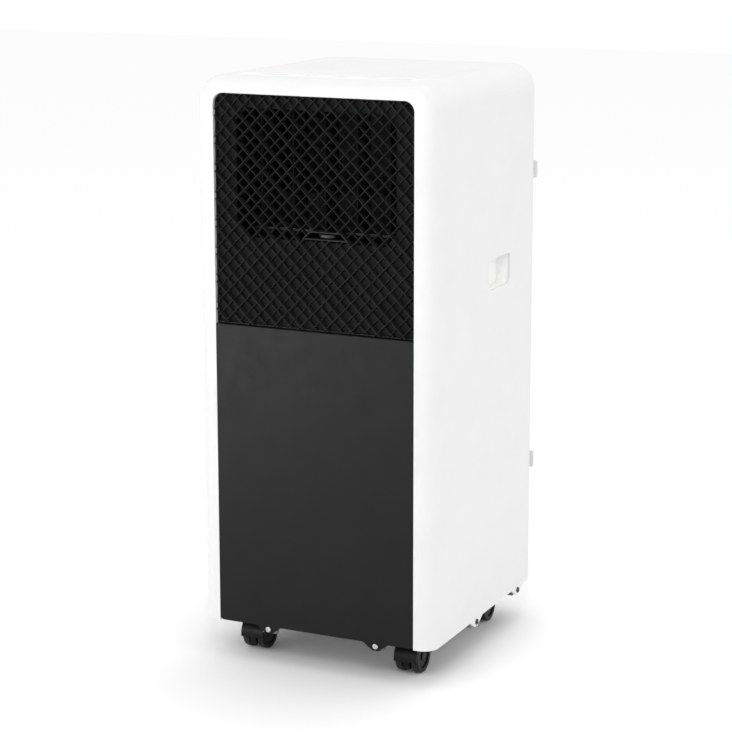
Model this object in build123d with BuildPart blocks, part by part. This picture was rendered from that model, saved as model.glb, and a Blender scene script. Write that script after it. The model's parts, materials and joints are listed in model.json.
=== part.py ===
from build123d import *
import math
import os

# Portable air conditioner, upright on four casters.
# Frame: millimetres, +Z up, -Y is the front, origin on the floor at the middle of the footprint.
# "depth" below is the distance behind the front face, "height" the distance above the casing's foot.

os.makedirs("parts", exist_ok=True)

# ---------------------------------------------------------------- driving dimensions
BODY_WIDTH = 296.0
BODY_DEPTH = 303.0
BODY_HEIGHT = 640.0
GROUND_GAP = 46.0
HOOK_REACH = 14.0
WALL = 2.8
GAP = 0.3
FRONT_Y = -(BODY_DEPTH + HOOK_REACH) / 2

# casing and front frame
TOP_EDGE_RADIUS = 28.0
FRONT_EDGE_RADIUS = 18.0
REAR_EDGE_RADIUS = 8.0
FRAME_DEPTH = 24.0
RIM_SIDE = 23.6
RIM_TOP = 19.0
OPENING_RADIUS = 12.0
REAR_FLANGE = 16.0
REAR_OPENING_RADIUS = 18.0

# touch panel on the top
OVERLAY_X = (-112.0, 112.0)
OVERLAY_DEPTHS = (26.0, 60.0)
OVERLAY_THICKNESS = 0.6

# black front
OPENING_WIDTH = BODY_WIDTH - 2 * RIM_SIDE
OPENING_TOP = BODY_HEIGHT - RIM_TOP
SPLIT_HEIGHT = 357.0
GRILLE_DEPTH = 8.0
CELL_PITCH = 31.65
NODE_HEIGHT = 282.6
COARSE_RIB = 2.0
GRILLE_BORDER = 2.0
PANEL_DEPTH = 20.0
PANEL_WALL = 2.5
PANEL_FOOT = 1.0
PANEL_FOOT_ROUND = 5.0
PANEL_TOP_BEVEL = 0.8
PANEL_TAB_RISE = 2.0
PANEL_TAB_ROUND = 3.0

# air outlet behind the lattice
OUTLET_HALF_WIDTH = 99.4
OUTLET_LOW = 458.0
OUTLET_HIGH = 604.4
OUTLET_CHAMFER = 14.0
BEZEL_THICKNESS = 3.0
DUCT_WALL = 2.5
DUCT_END = 90.0

# louvre
VANE_COUNT = 5
VANE_PITCH = 40.0
VANE_CHORD = 34.0
VANE_THICKNESS = 2.2
VANE_AXIS_DEPTH = 50.0
VANE_PIN_RADIUS = 1.5
PIN_CLEARANCE = 0.06
CRANK_RADIUS = 14.0
CRANK_PIN_RADIUS = 1.2
LINK_LOW = 464.6
LINK_THICKNESS = 3.0
LINK_WIDTH = 9.0
TAB_WIDTH = 22.0
VANE_FOOT_PLAY = 1.4
VANE_HEAD_PLAY = 1.2
PIVOT_BOSS = 0.8
CRANK_BOSS = 0.6
CRANK_DROP = 0.8
LINK_END = 8.0
TONGUE_FRONT = 2.5
TONGUE_ROUND = 8.0
LINK_SLOT_LENGTH = 6.0
LINK_SLOT_SHIFT = 0.9
LINK_SLOT_PLAY = 0.45

# handles in the side walls
HANDLE_DEPTH_POSITION = 191.5
HANDLE_LOW = 388.0
HANDLE_LENGTH = 65.0
HANDLE_OPENING = 36.0
HANDLE_UNDERCUT = 9.0
HANDLE_RECESS = 17.0
HANDLE_LOW_ROUND = 9.0
HANDLE_HIGH_ROUND = 3.0

# rear wall
REAR_PANEL_THICKNESS = 2.5
INTAKE_WIDTH = 210.0
UPPER_INTAKE = (367.0, 597.0)
LOWER_INTAKE = (40.0, 178.0)
INTAKE_GRILLE_DEPTH = 9.0
INTAKE_PLAY = 0.5
INTAKE_FRAME = 8.0
SLAT_PITCH = 9.0
SLAT_HEIGHT = 2.2
SLAT_OVERLAP = 1.0
SLAT_SETBACK = 3.5
SLAT_BACK = 0.7
STAY_WIDTH = 3.0
LIP_HALF = 14.0
LIP_REACH = 4.0
LIP_HEIGHTS = (2.0, 4.2)
FILTER_MARGIN = 8.7
FILTER_THICKNESS = 1.6
PORT_HEIGHT = 256.0
PORT_RADIUS = 62.0
PORT_WALL = 4.0
DRAIN_X = -90.0
UPPER_DRAIN = 345.0
LOWER_DRAIN = 18.0
DRAIN_RADIUS = 7.0
GLAND_X = 112.0
GLAND_HEIGHT = 212.0
HOOK_X = (134.0, 146.0)
HOOK_HEIGHTS = (150.0, 512.0)
HOOK_LENGTH = 21.0

# casters
CASTER_X = 100.0
CASTER_DEPTHS = (44.0, 245.0)
CASTER_TRAIL = 10.0
WHEEL_RADIUS = 19.5
WHEEL_WIDTH = 9.0
WHEEL_SPREAD = 19.6
STEM_RADIUS = 5.5
SOCKET_WALL = 3.0
AXLE_RADIUS = 2.5

# screwed tabs under the casing
FRONT_TABS = (-62.0, 76.0)
SIDE_TABS = (130.0, 261.0)
TAB_DROP = 9.0
TAB_HALF = 19.0
SCREW_DROP = 3.5
SCREW_HEAD = 3.4
SCREW_SHANK = 1.7
SCREW_HOLE = SCREW_SHANK + 0.1
SCREW_LENGTH = 7.0
SCREW_HEAD_HEIGHT = 1.8
SCREW_HEAD_ROUND = 1.1
CROSS_LENGTH = 3.7
CROSS_WIDTH = 0.7
CROSS_DEPTH = 0.8
TAB_TIP = 4.0
TAB_ROUND = 2.5
TAB_FACE = 3.0
REAR_SCREW_X = 136.0
REAR_SCREW_HEIGHTS = (40.0, 215.0, 330.0, 450.0, 590.0)
REAR_SCREW_LENGTH = 6.0

# small clearances, and how far a cutter stands past the wall that it opens
SKIN_PLAY = 0.2
OVERCUT = 5.0
CUT_THROUGH = 4 * WALL


# ---------------------------------------------------------------- helpers
def at_depth(depth):
    """The Y of a point that lies this far behind the front face."""
    return FRONT_Y + depth


def at_height(height):
    """The Z of a point that lies this far above the casing's foot."""
    return GROUND_GAP + height


def facing(depth):
    """A plane parallel to the front face; on it, x is X and y is Z, and its normal is -Y."""
    return Plane.XZ.offset(-at_depth(depth))


def arch(width, low, high, radius, mode=Mode.ADD):
    """A face with a flat foot and two rounded upper corners, for the sketch that is open."""
    half = width / 2
    with BuildLine() as edge:
        Polyline((-half, at_height(high) - radius), (-half, at_height(low)), (half, at_height(low)),
                 (half, at_height(high) - radius))
        CenterArc((half - radius, at_height(high) - radius), radius, 0, 90)
        Line((half - radius, at_height(high)), (radius - half, at_height(high)))
        CenterArc((radius - half, at_height(high) - radius), radius, 90, 90)
    make_face(edge.edges(), mode=mode)


def block(x_span, depth_span, height_span):
    """A plain box between two X, two depths and two heights, made outside any part."""
    centre = ((x_span[0] + x_span[1]) / 2, at_depth(sum(depth_span) / 2), at_height(sum(height_span) / 2))
    size = (x_span[1] - x_span[0], depth_span[1] - depth_span[0], height_span[1] - height_span[0])
    with BuildPart() as box:
        with Locations(centre):
            Box(*size)
    return box.part


def rod(x, height, depth_span, radius):
    """A round bar along Y between two depths."""
    with BuildPart() as bar:
        with BuildSketch(facing(depth_span[0])):
            with Locations((x, at_height(height))):
                Circle(radius)
        extrude(amount=-(depth_span[1] - depth_span[0]))
    return bar.part


def post(x, depth, height_span, radius):
    """A round bar along Z between two heights."""
    with BuildPart() as bar:
        with BuildSketch(Plane.XY.offset(at_height(height_span[0]))):
            with Locations((x, at_depth(depth))):
                Circle(radius)
        extrude(amount=height_span[1] - height_span[0])
    return bar.part


def save(piece, name):
    """Label a finished piece and write its STEP file."""
    piece.label = name
    export_step(piece, f"parts/{name}.step")


def screw(length=SCREW_LENGTH):
    """A pan-head screw with its head's underside on XY and its shank down -Z."""
    with BuildPart() as made:
        Cylinder(SCREW_HEAD, SCREW_HEAD_HEIGHT, align=(Align.CENTER, Align.CENTER, Align.MIN))
        fillet(made.edges().group_by(Axis.Z)[-1], SCREW_HEAD_ROUND)
        with BuildSketch(Plane.XY.offset(SCREW_HEAD_HEIGHT)):
            Rectangle(CROSS_LENGTH, CROSS_WIDTH)
            Rectangle(CROSS_WIDTH, CROSS_LENGTH)
        extrude(amount=-CROSS_DEPTH, mode=Mode.SUBTRACT)
        Cylinder(SCREW_SHANK, length, align=(Align.CENTER, Align.CENTER, Align.MAX))
    return made.part


# ---------------------------------------------------------------- white front frame
with BuildPart() as front_frame:
    with BuildSketch(facing(0)):
        arch(BODY_WIDTH, 0, BODY_HEIGHT, TOP_EDGE_RADIUS)
    extrude(amount=-FRAME_DEPTH)
    rim = front_frame.faces().sort_by(Axis.Y)[0].outer_wire().edges().sort_by(Axis.Z)[1:]
    fillet(rim, FRONT_EDGE_RADIUS)
    with BuildSketch(facing(0)):
        arch(OPENING_WIDTH, -WALL, OPENING_TOP, OPENING_RADIUS)
    extrude(amount=-FRAME_DEPTH, mode=Mode.SUBTRACT)
    offset(amount=-WALL, openings=front_frame.faces().sort_by(Axis.Y)[-1])
save(front_frame.part, "front_frame")

# ---------------------------------------------------------------- white casing: two sides and the top
rear_screw_places = [(side * REAR_SCREW_X, at_height(height))
                     for side in (-1, 1) for height in REAR_SCREW_HEIGHTS]

with BuildPart() as casing:
    with BuildSketch(facing(FRAME_DEPTH)):
        arch(BODY_WIDTH, 0, BODY_HEIGHT, TOP_EDGE_RADIUS)
    extrude(amount=-(BODY_DEPTH - FRAME_DEPTH))
    back = casing.faces().sort_by(Axis.Y)[-1].outer_wire().edges().sort_by(Axis.Z)[1:]
    fillet(back, REAR_EDGE_RADIUS)
    open_faces = [casing.faces().sort_by(Axis.Y)[0], casing.faces().sort_by(Axis.Z)[0]]
    offset(amount=-WALL, openings=open_faces)
    with BuildSketch(facing(BODY_DEPTH - 2 * WALL)):
        arch(BODY_WIDTH - 2 * REAR_FLANGE, -WALL, BODY_HEIGHT - REAR_FLANGE, REAR_OPENING_RADIUS)
    extrude(amount=-CUT_THROUGH, mode=Mode.SUBTRACT)
    for side in (-1, 1):
        with BuildSketch(Plane.YZ.offset(side * (BODY_WIDTH / 2 - 2 * WALL))) as grip:
            with Locations((at_depth(HANDLE_DEPTH_POSITION), at_height(HANDLE_LOW + HANDLE_OPENING / 2))):
                Rectangle(HANDLE_LENGTH, HANDLE_OPENING)
            fillet(grip.vertices().group_by(Axis.Y)[0], HANDLE_LOW_ROUND)
            fillet(grip.vertices().group_by(Axis.Y)[-1], HANDLE_HIGH_ROUND)
        extrude(amount=side * CUT_THROUGH, mode=Mode.SUBTRACT)
        for tab_depth in SIDE_TABS:
            with BuildSketch(Plane.YZ.offset(side * BODY_WIDTH / 2)) as tab:
                with Locations((at_depth(tab_depth), at_height(0))):
                    Polygon((-TAB_HALF, 0), (TAB_HALF, 0), (TAB_TIP, -TAB_DROP), (-TAB_TIP, -TAB_DROP),
                            align=None)
                    fillet(tab.vertices().group_by(Axis.Y)[0], TAB_ROUND)
                with Locations((at_depth(tab_depth), at_height(-SCREW_DROP))):
                    Circle(SCREW_HOLE, mode=Mode.SUBTRACT)
            extrude(amount=-side * WALL)
    add(block(OVERLAY_X, OVERLAY_DEPTHS, (BODY_HEIGHT - OVERLAY_THICKNESS, BODY_HEIGHT + OVERCUT)),
        mode=Mode.SUBTRACT)
    with BuildSketch(facing(BODY_DEPTH - 2 * WALL)):
        with Locations(*rear_screw_places):
            Circle(SCREW_HOLE)
    extrude(amount=-CUT_THROUGH, mode=Mode.SUBTRACT)
save(casing.part, "casing")

with BuildPart() as control_overlay:
    add(block((OVERLAY_X[0] + GAP, OVERLAY_X[1] - GAP), (OVERLAY_DEPTHS[0] + GAP, OVERLAY_DEPTHS[1] - GAP),
              (BODY_HEIGHT - OVERLAY_THICKNESS, BODY_HEIGHT)))
save(control_overlay.part, "control_overlay")

# ---------------------------------------------------------------- lattice over the air outlet
LATTICE_WIDTH = OPENING_WIDTH - 2 * GAP
LATTICE_TOP = OPENING_TOP - GAP
WINDOW_APEX = NODE_HEIGHT + 6.5 * CELL_PITCH
WINDOW_X = CELL_PITCH / 2
WINDOW_LOW = 463.0
WINDOW_HIGH = 469.7
WINDOW_BAR = 1.5
CELL_SIDE = CELL_PITCH / math.sqrt(2) - COARSE_RIB


def cell_centres():
    """The middles of the square cells, which stand on their corners, over the whole lattice."""
    half = CELL_PITCH / 2
    columns = math.ceil(LATTICE_WIDTH / CELL_PITCH) + 1
    rows = math.ceil((LATTICE_TOP - SPLIT_HEIGHT) / half) + 2
    first = math.floor((SPLIT_HEIGHT - NODE_HEIGHT) / half) - 1
    return [(column * half, at_height(NODE_HEIGHT + row * half))
            for row in range(first, first + rows)
            for column in range(-columns, columns + 1)
            if (row + column) % 2 == 1]


def window(grow):
    """The finger window: a trapezoid under one lattice node, grown by a margin on every side."""
    low, high = at_height(WINDOW_LOW - grow), at_height(WINDOW_HIGH + grow)
    slant = (grow - COARSE_RIB / 2) * math.sqrt(2)
    low_half = at_height(WINDOW_APEX) - low + slant
    high_half = at_height(WINDOW_APEX) - high + slant
    return [(WINDOW_X - low_half, low), (WINDOW_X + low_half, low),
            (WINDOW_X + high_half, high), (WINDOW_X - high_half, high)]


with BuildPart() as front_grille:
    with BuildSketch(facing(0)):
        arch(LATTICE_WIDTH, SPLIT_HEIGHT + GAP, LATTICE_TOP, OPENING_RADIUS)
    extrude(amount=-GRILLE_DEPTH)
    with BuildSketch(facing(0)):
        with Locations(*cell_centres()):
            Rectangle(CELL_SIDE, CELL_SIDE, rotation=45)
        arch(LATTICE_WIDTH - 2 * GRILLE_BORDER, SPLIT_HEIGHT + GRILLE_BORDER, LATTICE_TOP - GRILLE_BORDER,
             OPENING_RADIUS - GRILLE_BORDER, mode=Mode.INTERSECT)
        Polygon(*window(WINDOW_BAR), align=None, mode=Mode.SUBTRACT)
        Polygon(*window(0), align=None)
    extrude(amount=-GRILLE_DEPTH, mode=Mode.SUBTRACT)
save(front_grille.part, "front_grille")

# ---------------------------------------------------------------- plate and duct behind the lattice
BEZEL_FRONT = GRILLE_DEPTH + GAP
BEZEL_BACK = BEZEL_FRONT + BEZEL_THICKNESS

with BuildPart() as outlet_bezel:
    with BuildSketch(facing(BEZEL_FRONT)):
        arch(LATTICE_WIDTH, SPLIT_HEIGHT + GAP, LATTICE_TOP, OPENING_RADIUS)
    extrude(amount=-BEZEL_THICKNESS)
    with BuildSketch(facing(BEZEL_FRONT)) as mouth:
        with Locations((0, at_height((OUTLET_LOW + OUTLET_HIGH) / 2))):
            Rectangle(2 * OUTLET_HALF_WIDTH, OUTLET_HIGH - OUTLET_LOW)
        chamfer(mouth.vertices(), OUTLET_CHAMFER)
    extrude(amount=-BEZEL_THICKNESS, mode=Mode.SUBTRACT)
save(outlet_bezel.part, "outlet_bezel")

vane_places = [(index - (VANE_COUNT - 1) / 2) * VANE_PITCH for index in range(VANE_COUNT)]

with BuildPart() as outlet_duct:
    duct_span = (OUTLET_LOW - DUCT_WALL, OUTLET_HIGH + DUCT_WALL)
    duct_sides = (-OUTLET_HALF_WIDTH - DUCT_WALL, OUTLET_HALF_WIDTH + DUCT_WALL)
    add(block(duct_sides, (BEZEL_BACK, DUCT_END), duct_span))
    add(block((-OUTLET_HALF_WIDTH, OUTLET_HALF_WIDTH), (BEZEL_BACK, DUCT_END), (OUTLET_LOW, OUTLET_HIGH)),
        mode=Mode.SUBTRACT)
    for x in vane_places:
        add(post(x, VANE_AXIS_DEPTH, duct_span, VANE_PIN_RADIUS + PIN_CLEARANCE), mode=Mode.SUBTRACT)
save(outlet_duct.part, "outlet_duct")

# ---------------------------------------------------------------- vertical vanes and their link bar
VANE_LOW = LINK_LOW + LINK_THICKNESS + VANE_FOOT_PLAY
VANE_HIGH = OUTLET_HIGH - VANE_HEAD_PLAY


def louvre_vane(x):
    """One upright blade with rounded edges, two pivot pins and a crank pin under its leading edge."""
    with BuildPart() as vane:
        with BuildSketch(Plane.XY.offset(at_height(VANE_LOW))):
            with Locations((x, at_depth(VANE_AXIS_DEPTH))):
                SlotOverall(VANE_CHORD, VANE_THICKNESS, rotation=90)
                Circle(VANE_PIN_RADIUS + PIVOT_BOSS)
            with Locations((x, at_depth(VANE_AXIS_DEPTH - CRANK_RADIUS))):
                Circle(CRANK_PIN_RADIUS + CRANK_BOSS)
        extrude(amount=VANE_HIGH - VANE_LOW)
        add(post(x, VANE_AXIS_DEPTH, duct_span, VANE_PIN_RADIUS))
        add(post(x, VANE_AXIS_DEPTH - CRANK_RADIUS, (LINK_LOW - CRANK_DROP, VANE_LOW), CRANK_PIN_RADIUS))
    return vane.part


for index, x in enumerate(vane_places, start=1):
    save(louvre_vane(x), f"louvre_vane_{index}")

with BuildPart() as louvre_link:
    link_depth = VANE_AXIS_DEPTH - CRANK_RADIUS
    half_link = vane_places[-1] + LINK_END
    add(block((-half_link, half_link), (link_depth - LINK_WIDTH / 2, link_depth + LINK_WIDTH / 2),
              (LINK_LOW, LINK_LOW + LINK_THICKNESS)))
    with BuildSketch(Plane.XY.offset(at_height(LINK_LOW))) as tongue:
        with Locations((WINDOW_X, at_depth((TONGUE_FRONT + link_depth) / 2))):
            Rectangle(TAB_WIDTH, link_depth - TONGUE_FRONT)
        fillet(tongue.vertices().group_by(Axis.Y)[0], TONGUE_ROUND)
    extrude(amount=LINK_THICKNESS)
    with BuildSketch(Plane.XY.offset(at_height(LINK_LOW))):
        for x in vane_places:
            with Locations((x, at_depth(link_depth + LINK_SLOT_SHIFT))):
                SlotOverall(LINK_SLOT_LENGTH, 2 * (CRANK_PIN_RADIUS + LINK_SLOT_PLAY), rotation=90)
    extrude(amount=LINK_THICKNESS, mode=Mode.SUBTRACT)
save(louvre_link.part, "louvre_link")

# ---------------------------------------------------------------- lower front panel
with BuildPart() as lower_front_panel:
    with BuildSketch(facing(0)) as panel_face:
        with Locations((0, at_height((PANEL_FOOT + SPLIT_HEIGHT - GAP) / 2))):
            Rectangle(LATTICE_WIDTH, SPLIT_HEIGHT - GAP - PANEL_FOOT)
        fillet(panel_face.vertices().group_by(Axis.Y)[0], PANEL_FOOT_ROUND)
    extrude(amount=-PANEL_DEPTH)
    face_rim = lower_front_panel.faces().sort_by(Axis.Y)[0].outer_wire().edges()
    chamfer(face_rim.sort_by(Axis.Z)[-1], PANEL_TOP_BEVEL)
    offset(amount=-PANEL_WALL, openings=lower_front_panel.faces().sort_by(Axis.Y)[-1])
    for x in FRONT_TABS:
        with BuildSketch(facing(TAB_FACE)) as tab:
            with Locations((x, at_height(PANEL_TAB_RISE))):
                Polygon((-TAB_HALF, 0), (TAB_HALF, 0), (TAB_TIP, -TAB_DROP - PANEL_TAB_RISE),
                        (-TAB_TIP, -TAB_DROP - PANEL_TAB_RISE), align=None)
                fillet(tab.vertices().group_by(Axis.Y)[0], PANEL_TAB_ROUND)
            with Locations((x, at_height(-SCREW_DROP))):
                Circle(SCREW_HOLE, mode=Mode.SUBTRACT)
        extrude(amount=-PANEL_WALL)
save(lower_front_panel.part, "lower_front_panel")

# ---------------------------------------------------------------- base pan
PAN_PLAY = 0.5
PAN_FRONT_GAP = 1.5
PAN_HALF = BODY_WIDTH / 2 - WALL - PAN_PLAY
PAN_DEPTHS = (FRAME_DEPTH + PAN_FRONT_GAP, BODY_DEPTH - 3 * WALL - REAR_PANEL_THICKNESS)
PAN_FLOOR = (2.0, 5.0)
PAN_TOP = 30.0
PAN_WALL = 2.5
SOCKET_TOP = 27.0
SOCKET_ROOF = 2.0
SPOUT_WALL = 2.2
SPOUT_HOLE = DRAIN_RADIUS + SPOUT_WALL + 0.4
LUG_DEPTH = TAB_FACE + PANEL_WALL + GAP
LUG_HALF = 9.0
FRONT_LUG_BORE = 5.0
SIDE_LUG_BORE = 7.0
LUG_TOP = 0.5
FRONT_LUG_THICKNESS = 6.0
ARM_LOW = -2.5
ARM_REACH = 8.0
PAN_UNDERSIDE = PAN_FLOOR[0] - 0.1
SIDE_LUG_X = (PAN_HALF - 8, PAN_HALF + 0.2)
side_lug_places = [(side, depth) for side in (-1, 1) for depth in SIDE_TABS]

with BuildPart() as base_pan:
    add(block((-PAN_HALF, PAN_HALF), PAN_DEPTHS, (PAN_FLOOR[0], PAN_TOP)))
    inside = (PAN_DEPTHS[0] + PAN_WALL, PAN_DEPTHS[1] - PAN_WALL)
    add(block((PAN_WALL - PAN_HALF, PAN_HALF - PAN_WALL), inside, (PAN_FLOOR[1], PAN_TOP)),
        mode=Mode.SUBTRACT)
    for depth in CASTER_DEPTHS:
        for x in (-CASTER_X, CASTER_X):
            add(post(x, depth, (PAN_FLOOR[0], SOCKET_TOP), STEM_RADIUS + SOCKET_WALL))
            add(post(x, depth, (PAN_FLOOR[0], SOCKET_TOP - SOCKET_ROOF), STEM_RADIUS + PIN_CLEARANCE),
                mode=Mode.SUBTRACT)
    add(rod(DRAIN_X, LOWER_DRAIN, (PAN_DEPTHS[1] - OVERCUT, PAN_DEPTHS[1] + OVERCUT), SPOUT_HOLE),
        mode=Mode.SUBTRACT)
save(base_pan.part, "base_pan")

# the lugs under the pan that take the tab screws: each is a block, and the front ones hang on an arm
with BuildPart() as pan_lugs:
    for x in FRONT_TABS:
        width = (x - LUG_HALF, x + LUG_HALF)
        add(block(width, (LUG_DEPTH, LUG_DEPTH + FRONT_LUG_THICKNESS), (-TAB_DROP, LUG_TOP)))
        add(rod(x, -SCREW_DROP, (LUG_DEPTH - GAP, LUG_DEPTH + FRONT_LUG_BORE), SCREW_SHANK + PIN_CLEARANCE),
            mode=Mode.SUBTRACT)
    for side, depth in side_lug_places:
        span = sorted((side * SIDE_LUG_X[0], side * SIDE_LUG_X[1]))
        add(block(span, (depth - LUG_HALF, depth + LUG_HALF), (-TAB_DROP, PAN_UNDERSIDE)))
        with BuildSketch(Plane.YZ.offset(side * SIDE_LUG_X[1])):
            with Locations((at_depth(depth), at_height(-SCREW_DROP))):
                Circle(SCREW_SHANK + PIN_CLEARANCE)
        extrude(amount=-side * SIDE_LUG_BORE, mode=Mode.SUBTRACT)
save(pan_lugs.part, "pan_lugs")

with BuildPart() as lug_arms:
    for x in FRONT_TABS:
        width = (x - LUG_HALF, x + LUG_HALF)
        end = PAN_DEPTHS[0] + ARM_REACH
        add(block(width, (LUG_DEPTH + FRONT_LUG_THICKNESS, end), (ARM_LOW, LUG_TOP)))
        add(block(width, (PAN_DEPTHS[0], end), (ARM_LOW, PAN_UNDERSIDE)))
save(lug_arms.part, "lug_arms")

with BuildPart() as front_screws:
    for x in FRONT_TABS:
        seat = (x, at_depth(TAB_FACE), at_height(-SCREW_DROP))
        with Locations(Plane(seat, x_dir=(1, 0, 0), z_dir=(0, -1, 0))):
            add(screw())
save(front_screws.part, "front_screws")

with BuildPart() as side_screws:
    for side in (-1, 1):
        for depth in SIDE_TABS:
            seat = (side * BODY_WIDTH / 2, at_depth(depth), at_height(-SCREW_DROP))
            with Locations(Plane(seat, x_dir=(0, 1, 0), z_dir=(side, 0, 0))):
                add(screw())
save(side_screws.part, "side_screws")

# ---------------------------------------------------------------- side handle cups
CUP_WALL = 2.0
cup_outside = BODY_WIDTH / 2 - WALL - SKIN_PLAY

for side, name in ((-1, "left"), (1, "right")):
    with BuildPart() as handle_cup:
        cavity_heights = (HANDLE_LOW, HANDLE_LOW + HANDLE_OPENING + HANDLE_UNDERCUT)
        inner_x = BODY_WIDTH / 2 - HANDLE_RECESS
        with BuildSketch(Plane.YZ.offset(side * cup_outside)) as outside:
            with Locations((at_depth(HANDLE_DEPTH_POSITION), at_height(sum(cavity_heights) / 2))):
                Rectangle(HANDLE_LENGTH + 2 * CUP_WALL, HANDLE_OPENING + HANDLE_UNDERCUT + 2 * CUP_WALL)
            fillet(outside.vertices().group_by(Axis.Y)[0], HANDLE_LOW_ROUND + CUP_WALL)
        extrude(amount=-side * (cup_outside - inner_x + CUP_WALL))
        with BuildSketch(Plane.YZ.offset(side * cup_outside)) as cavity:
            with Locations((at_depth(HANDLE_DEPTH_POSITION), at_height(sum(cavity_heights) / 2))):
                Rectangle(HANDLE_LENGTH, HANDLE_OPENING + HANDLE_UNDERCUT)
            fillet(cavity.vertices().group_by(Axis.Y)[0], HANDLE_LOW_ROUND)
        extrude(amount=-side * (cup_outside - inner_x), mode=Mode.SUBTRACT)
    save(handle_cup.part, f"handle_cup_{name}")

# ---------------------------------------------------------------- rear panel
PANEL_FACE = BODY_DEPTH - WALL
PANEL_BACK = PANEL_FACE - REAR_PANEL_THICKNESS
PANEL_MARGIN = 5.7
PANEL_HALF = BODY_WIDTH / 2 - WALL - PANEL_MARGIN
PANEL_LOW = 0.5
PORT_PLAY = 0.5
GLAND_HOLE = 8.3
SPOUT_LENGTH = 14.0

with BuildPart() as rear_panel:
    with BuildSketch(facing(PANEL_BACK)):
        arch(2 * PANEL_HALF, PANEL_LOW, BODY_HEIGHT - WALL - PANEL_MARGIN,
             TOP_EDGE_RADIUS - WALL - PANEL_MARGIN)
    extrude(amount=-(REAR_PANEL_THICKNESS - SKIN_PLAY))
    with BuildSketch(facing(PANEL_BACK - SPOUT_LENGTH)):
        for height in (UPPER_DRAIN, LOWER_DRAIN):
            with Locations((DRAIN_X, at_height(height))):
                Circle(DRAIN_RADIUS + SPOUT_WALL)
    extrude(amount=-SPOUT_LENGTH)
    with BuildSketch(facing(PANEL_BACK - SPOUT_LENGTH)):
        for height in (UPPER_DRAIN, LOWER_DRAIN):
            with Locations((DRAIN_X, at_height(height))):
                Circle(DRAIN_RADIUS)
    extrude(amount=-(SPOUT_LENGTH + OVERCUT), mode=Mode.SUBTRACT)
    with BuildSketch(facing(PANEL_BACK)):
        for low, high in (UPPER_INTAKE, LOWER_INTAKE):
            with Locations((0, at_height((low + high) / 2))):
                Rectangle(INTAKE_WIDTH, high - low)
        with Locations((0, at_height(PORT_HEIGHT))):
            Circle(PORT_RADIUS + PORT_WALL + PORT_PLAY)
        with Locations((GLAND_X, at_height(GLAND_HEIGHT))):
            Circle(GLAND_HOLE)
        with Locations(*rear_screw_places):
            Circle(SCREW_HOLE)
    extrude(amount=-REAR_PANEL_THICKNESS, mode=Mode.SUBTRACT)
save(rear_panel.part, "rear_panel")


# ---------------------------------------------------------------- intake grilles and their filters
def intake_grille(low, high):
    """A framed set of level slats that snaps into the rear panel, with a pull lip at its foot."""
    front, back = PANEL_FACE - INTAKE_GRILLE_DEPTH, PANEL_FACE + SKIN_PLAY
    middle = at_height((low + high) / 2)
    width, height = INTAKE_WIDTH - 2 * INTAKE_PLAY, high - low - 2 * INTAKE_PLAY
    clear_width, clear_height = width - 2 * INTAKE_FRAME, height - 2 * INTAKE_FRAME
    count = round(clear_height / SLAT_PITCH)
    with BuildPart() as grille:
        with BuildSketch(facing(front)):
            with Locations((0, middle)):
                Rectangle(width, height)
                Rectangle(clear_width, clear_height, mode=Mode.SUBTRACT)
        extrude(amount=front - back)
        with BuildSketch(facing(front + SLAT_SETBACK)):
            with Locations((0, middle)):
                with GridLocations(1, clear_height / count, 1, count - 1):
                    Rectangle(clear_width + 2 * SLAT_OVERLAP, SLAT_HEIGHT)
                with GridLocations(width / 3, 1, 2, 1):
                    Rectangle(STAY_WIDTH, clear_height + 2 * SLAT_OVERLAP)
        extrude(amount=front + SLAT_SETBACK - back + SLAT_BACK)
        add(block((-LIP_HALF, LIP_HALF), (back - SLAT_OVERLAP, back + LIP_REACH),
                  (low + LIP_HEIGHTS[0], low + LIP_HEIGHTS[1])))
    return grille.part


def filter_mesh(low, high):
    """The washable filter: a thin sheet carried on the inner side of its grille."""
    front = PANEL_FACE - INTAKE_GRILLE_DEPTH
    half = INTAKE_WIDTH / 2 - FILTER_MARGIN
    heights = (low + FILTER_MARGIN, high - FILTER_MARGIN)
    return block((-half, half), (front, front + FILTER_THICKNESS), heights)


for name, (low, high) in (("upper", UPPER_INTAKE), ("lower", LOWER_INTAKE)):
    save(intake_grille(low, high), f"{name}_intake_grille")
    save(filter_mesh(low, high), f"{name}_filter_mesh")

# ---------------------------------------------------------------- exhaust port
EXHAUST_BOX_BACK = PANEL_BACK - GAP
EXHAUST_BOX_FRONT = 150.0
EXHAUST_HEIGHTS = (188.0, 320.0)
SCROLL_MOUTH = (78.0, 134.0)
MOUTH_DEPTHS = (158.0, 205.0)
COLLAR_REACH = 8.0
COLLAR_FLANGE = 14.0
COLLAR_FLANGE_THICKNESS = 2.4
EXHAUST_MAIN_X = (-75.0, 80.0)
EXHAUST_SIDE_X = (60.0, 138.0)
EXHAUST_SIDE_BACK = 215.0
collar_length = BODY_DEPTH + COLLAR_REACH - EXHAUST_BOX_BACK + DUCT_WALL

with BuildPart() as exhaust_collar:
    with BuildSketch(facing(EXHAUST_BOX_BACK - DUCT_WALL)):
        with Locations((0, at_height(PORT_HEIGHT))):
            Circle(PORT_RADIUS + PORT_WALL)
    extrude(amount=-collar_length)
    with BuildSketch(facing(PANEL_FACE + SKIN_PLAY)):
        with Locations((0, at_height(PORT_HEIGHT))):
            Circle(PORT_RADIUS + COLLAR_FLANGE)
    extrude(amount=-COLLAR_FLANGE_THICKNESS)
    with BuildSketch(facing(EXHAUST_BOX_BACK - DUCT_WALL)):
        with Locations((0, at_height(PORT_HEIGHT))):
            Circle(PORT_RADIUS)
    extrude(amount=-collar_length, mode=Mode.SUBTRACT)
save(exhaust_collar.part, "exhaust_collar")

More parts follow.
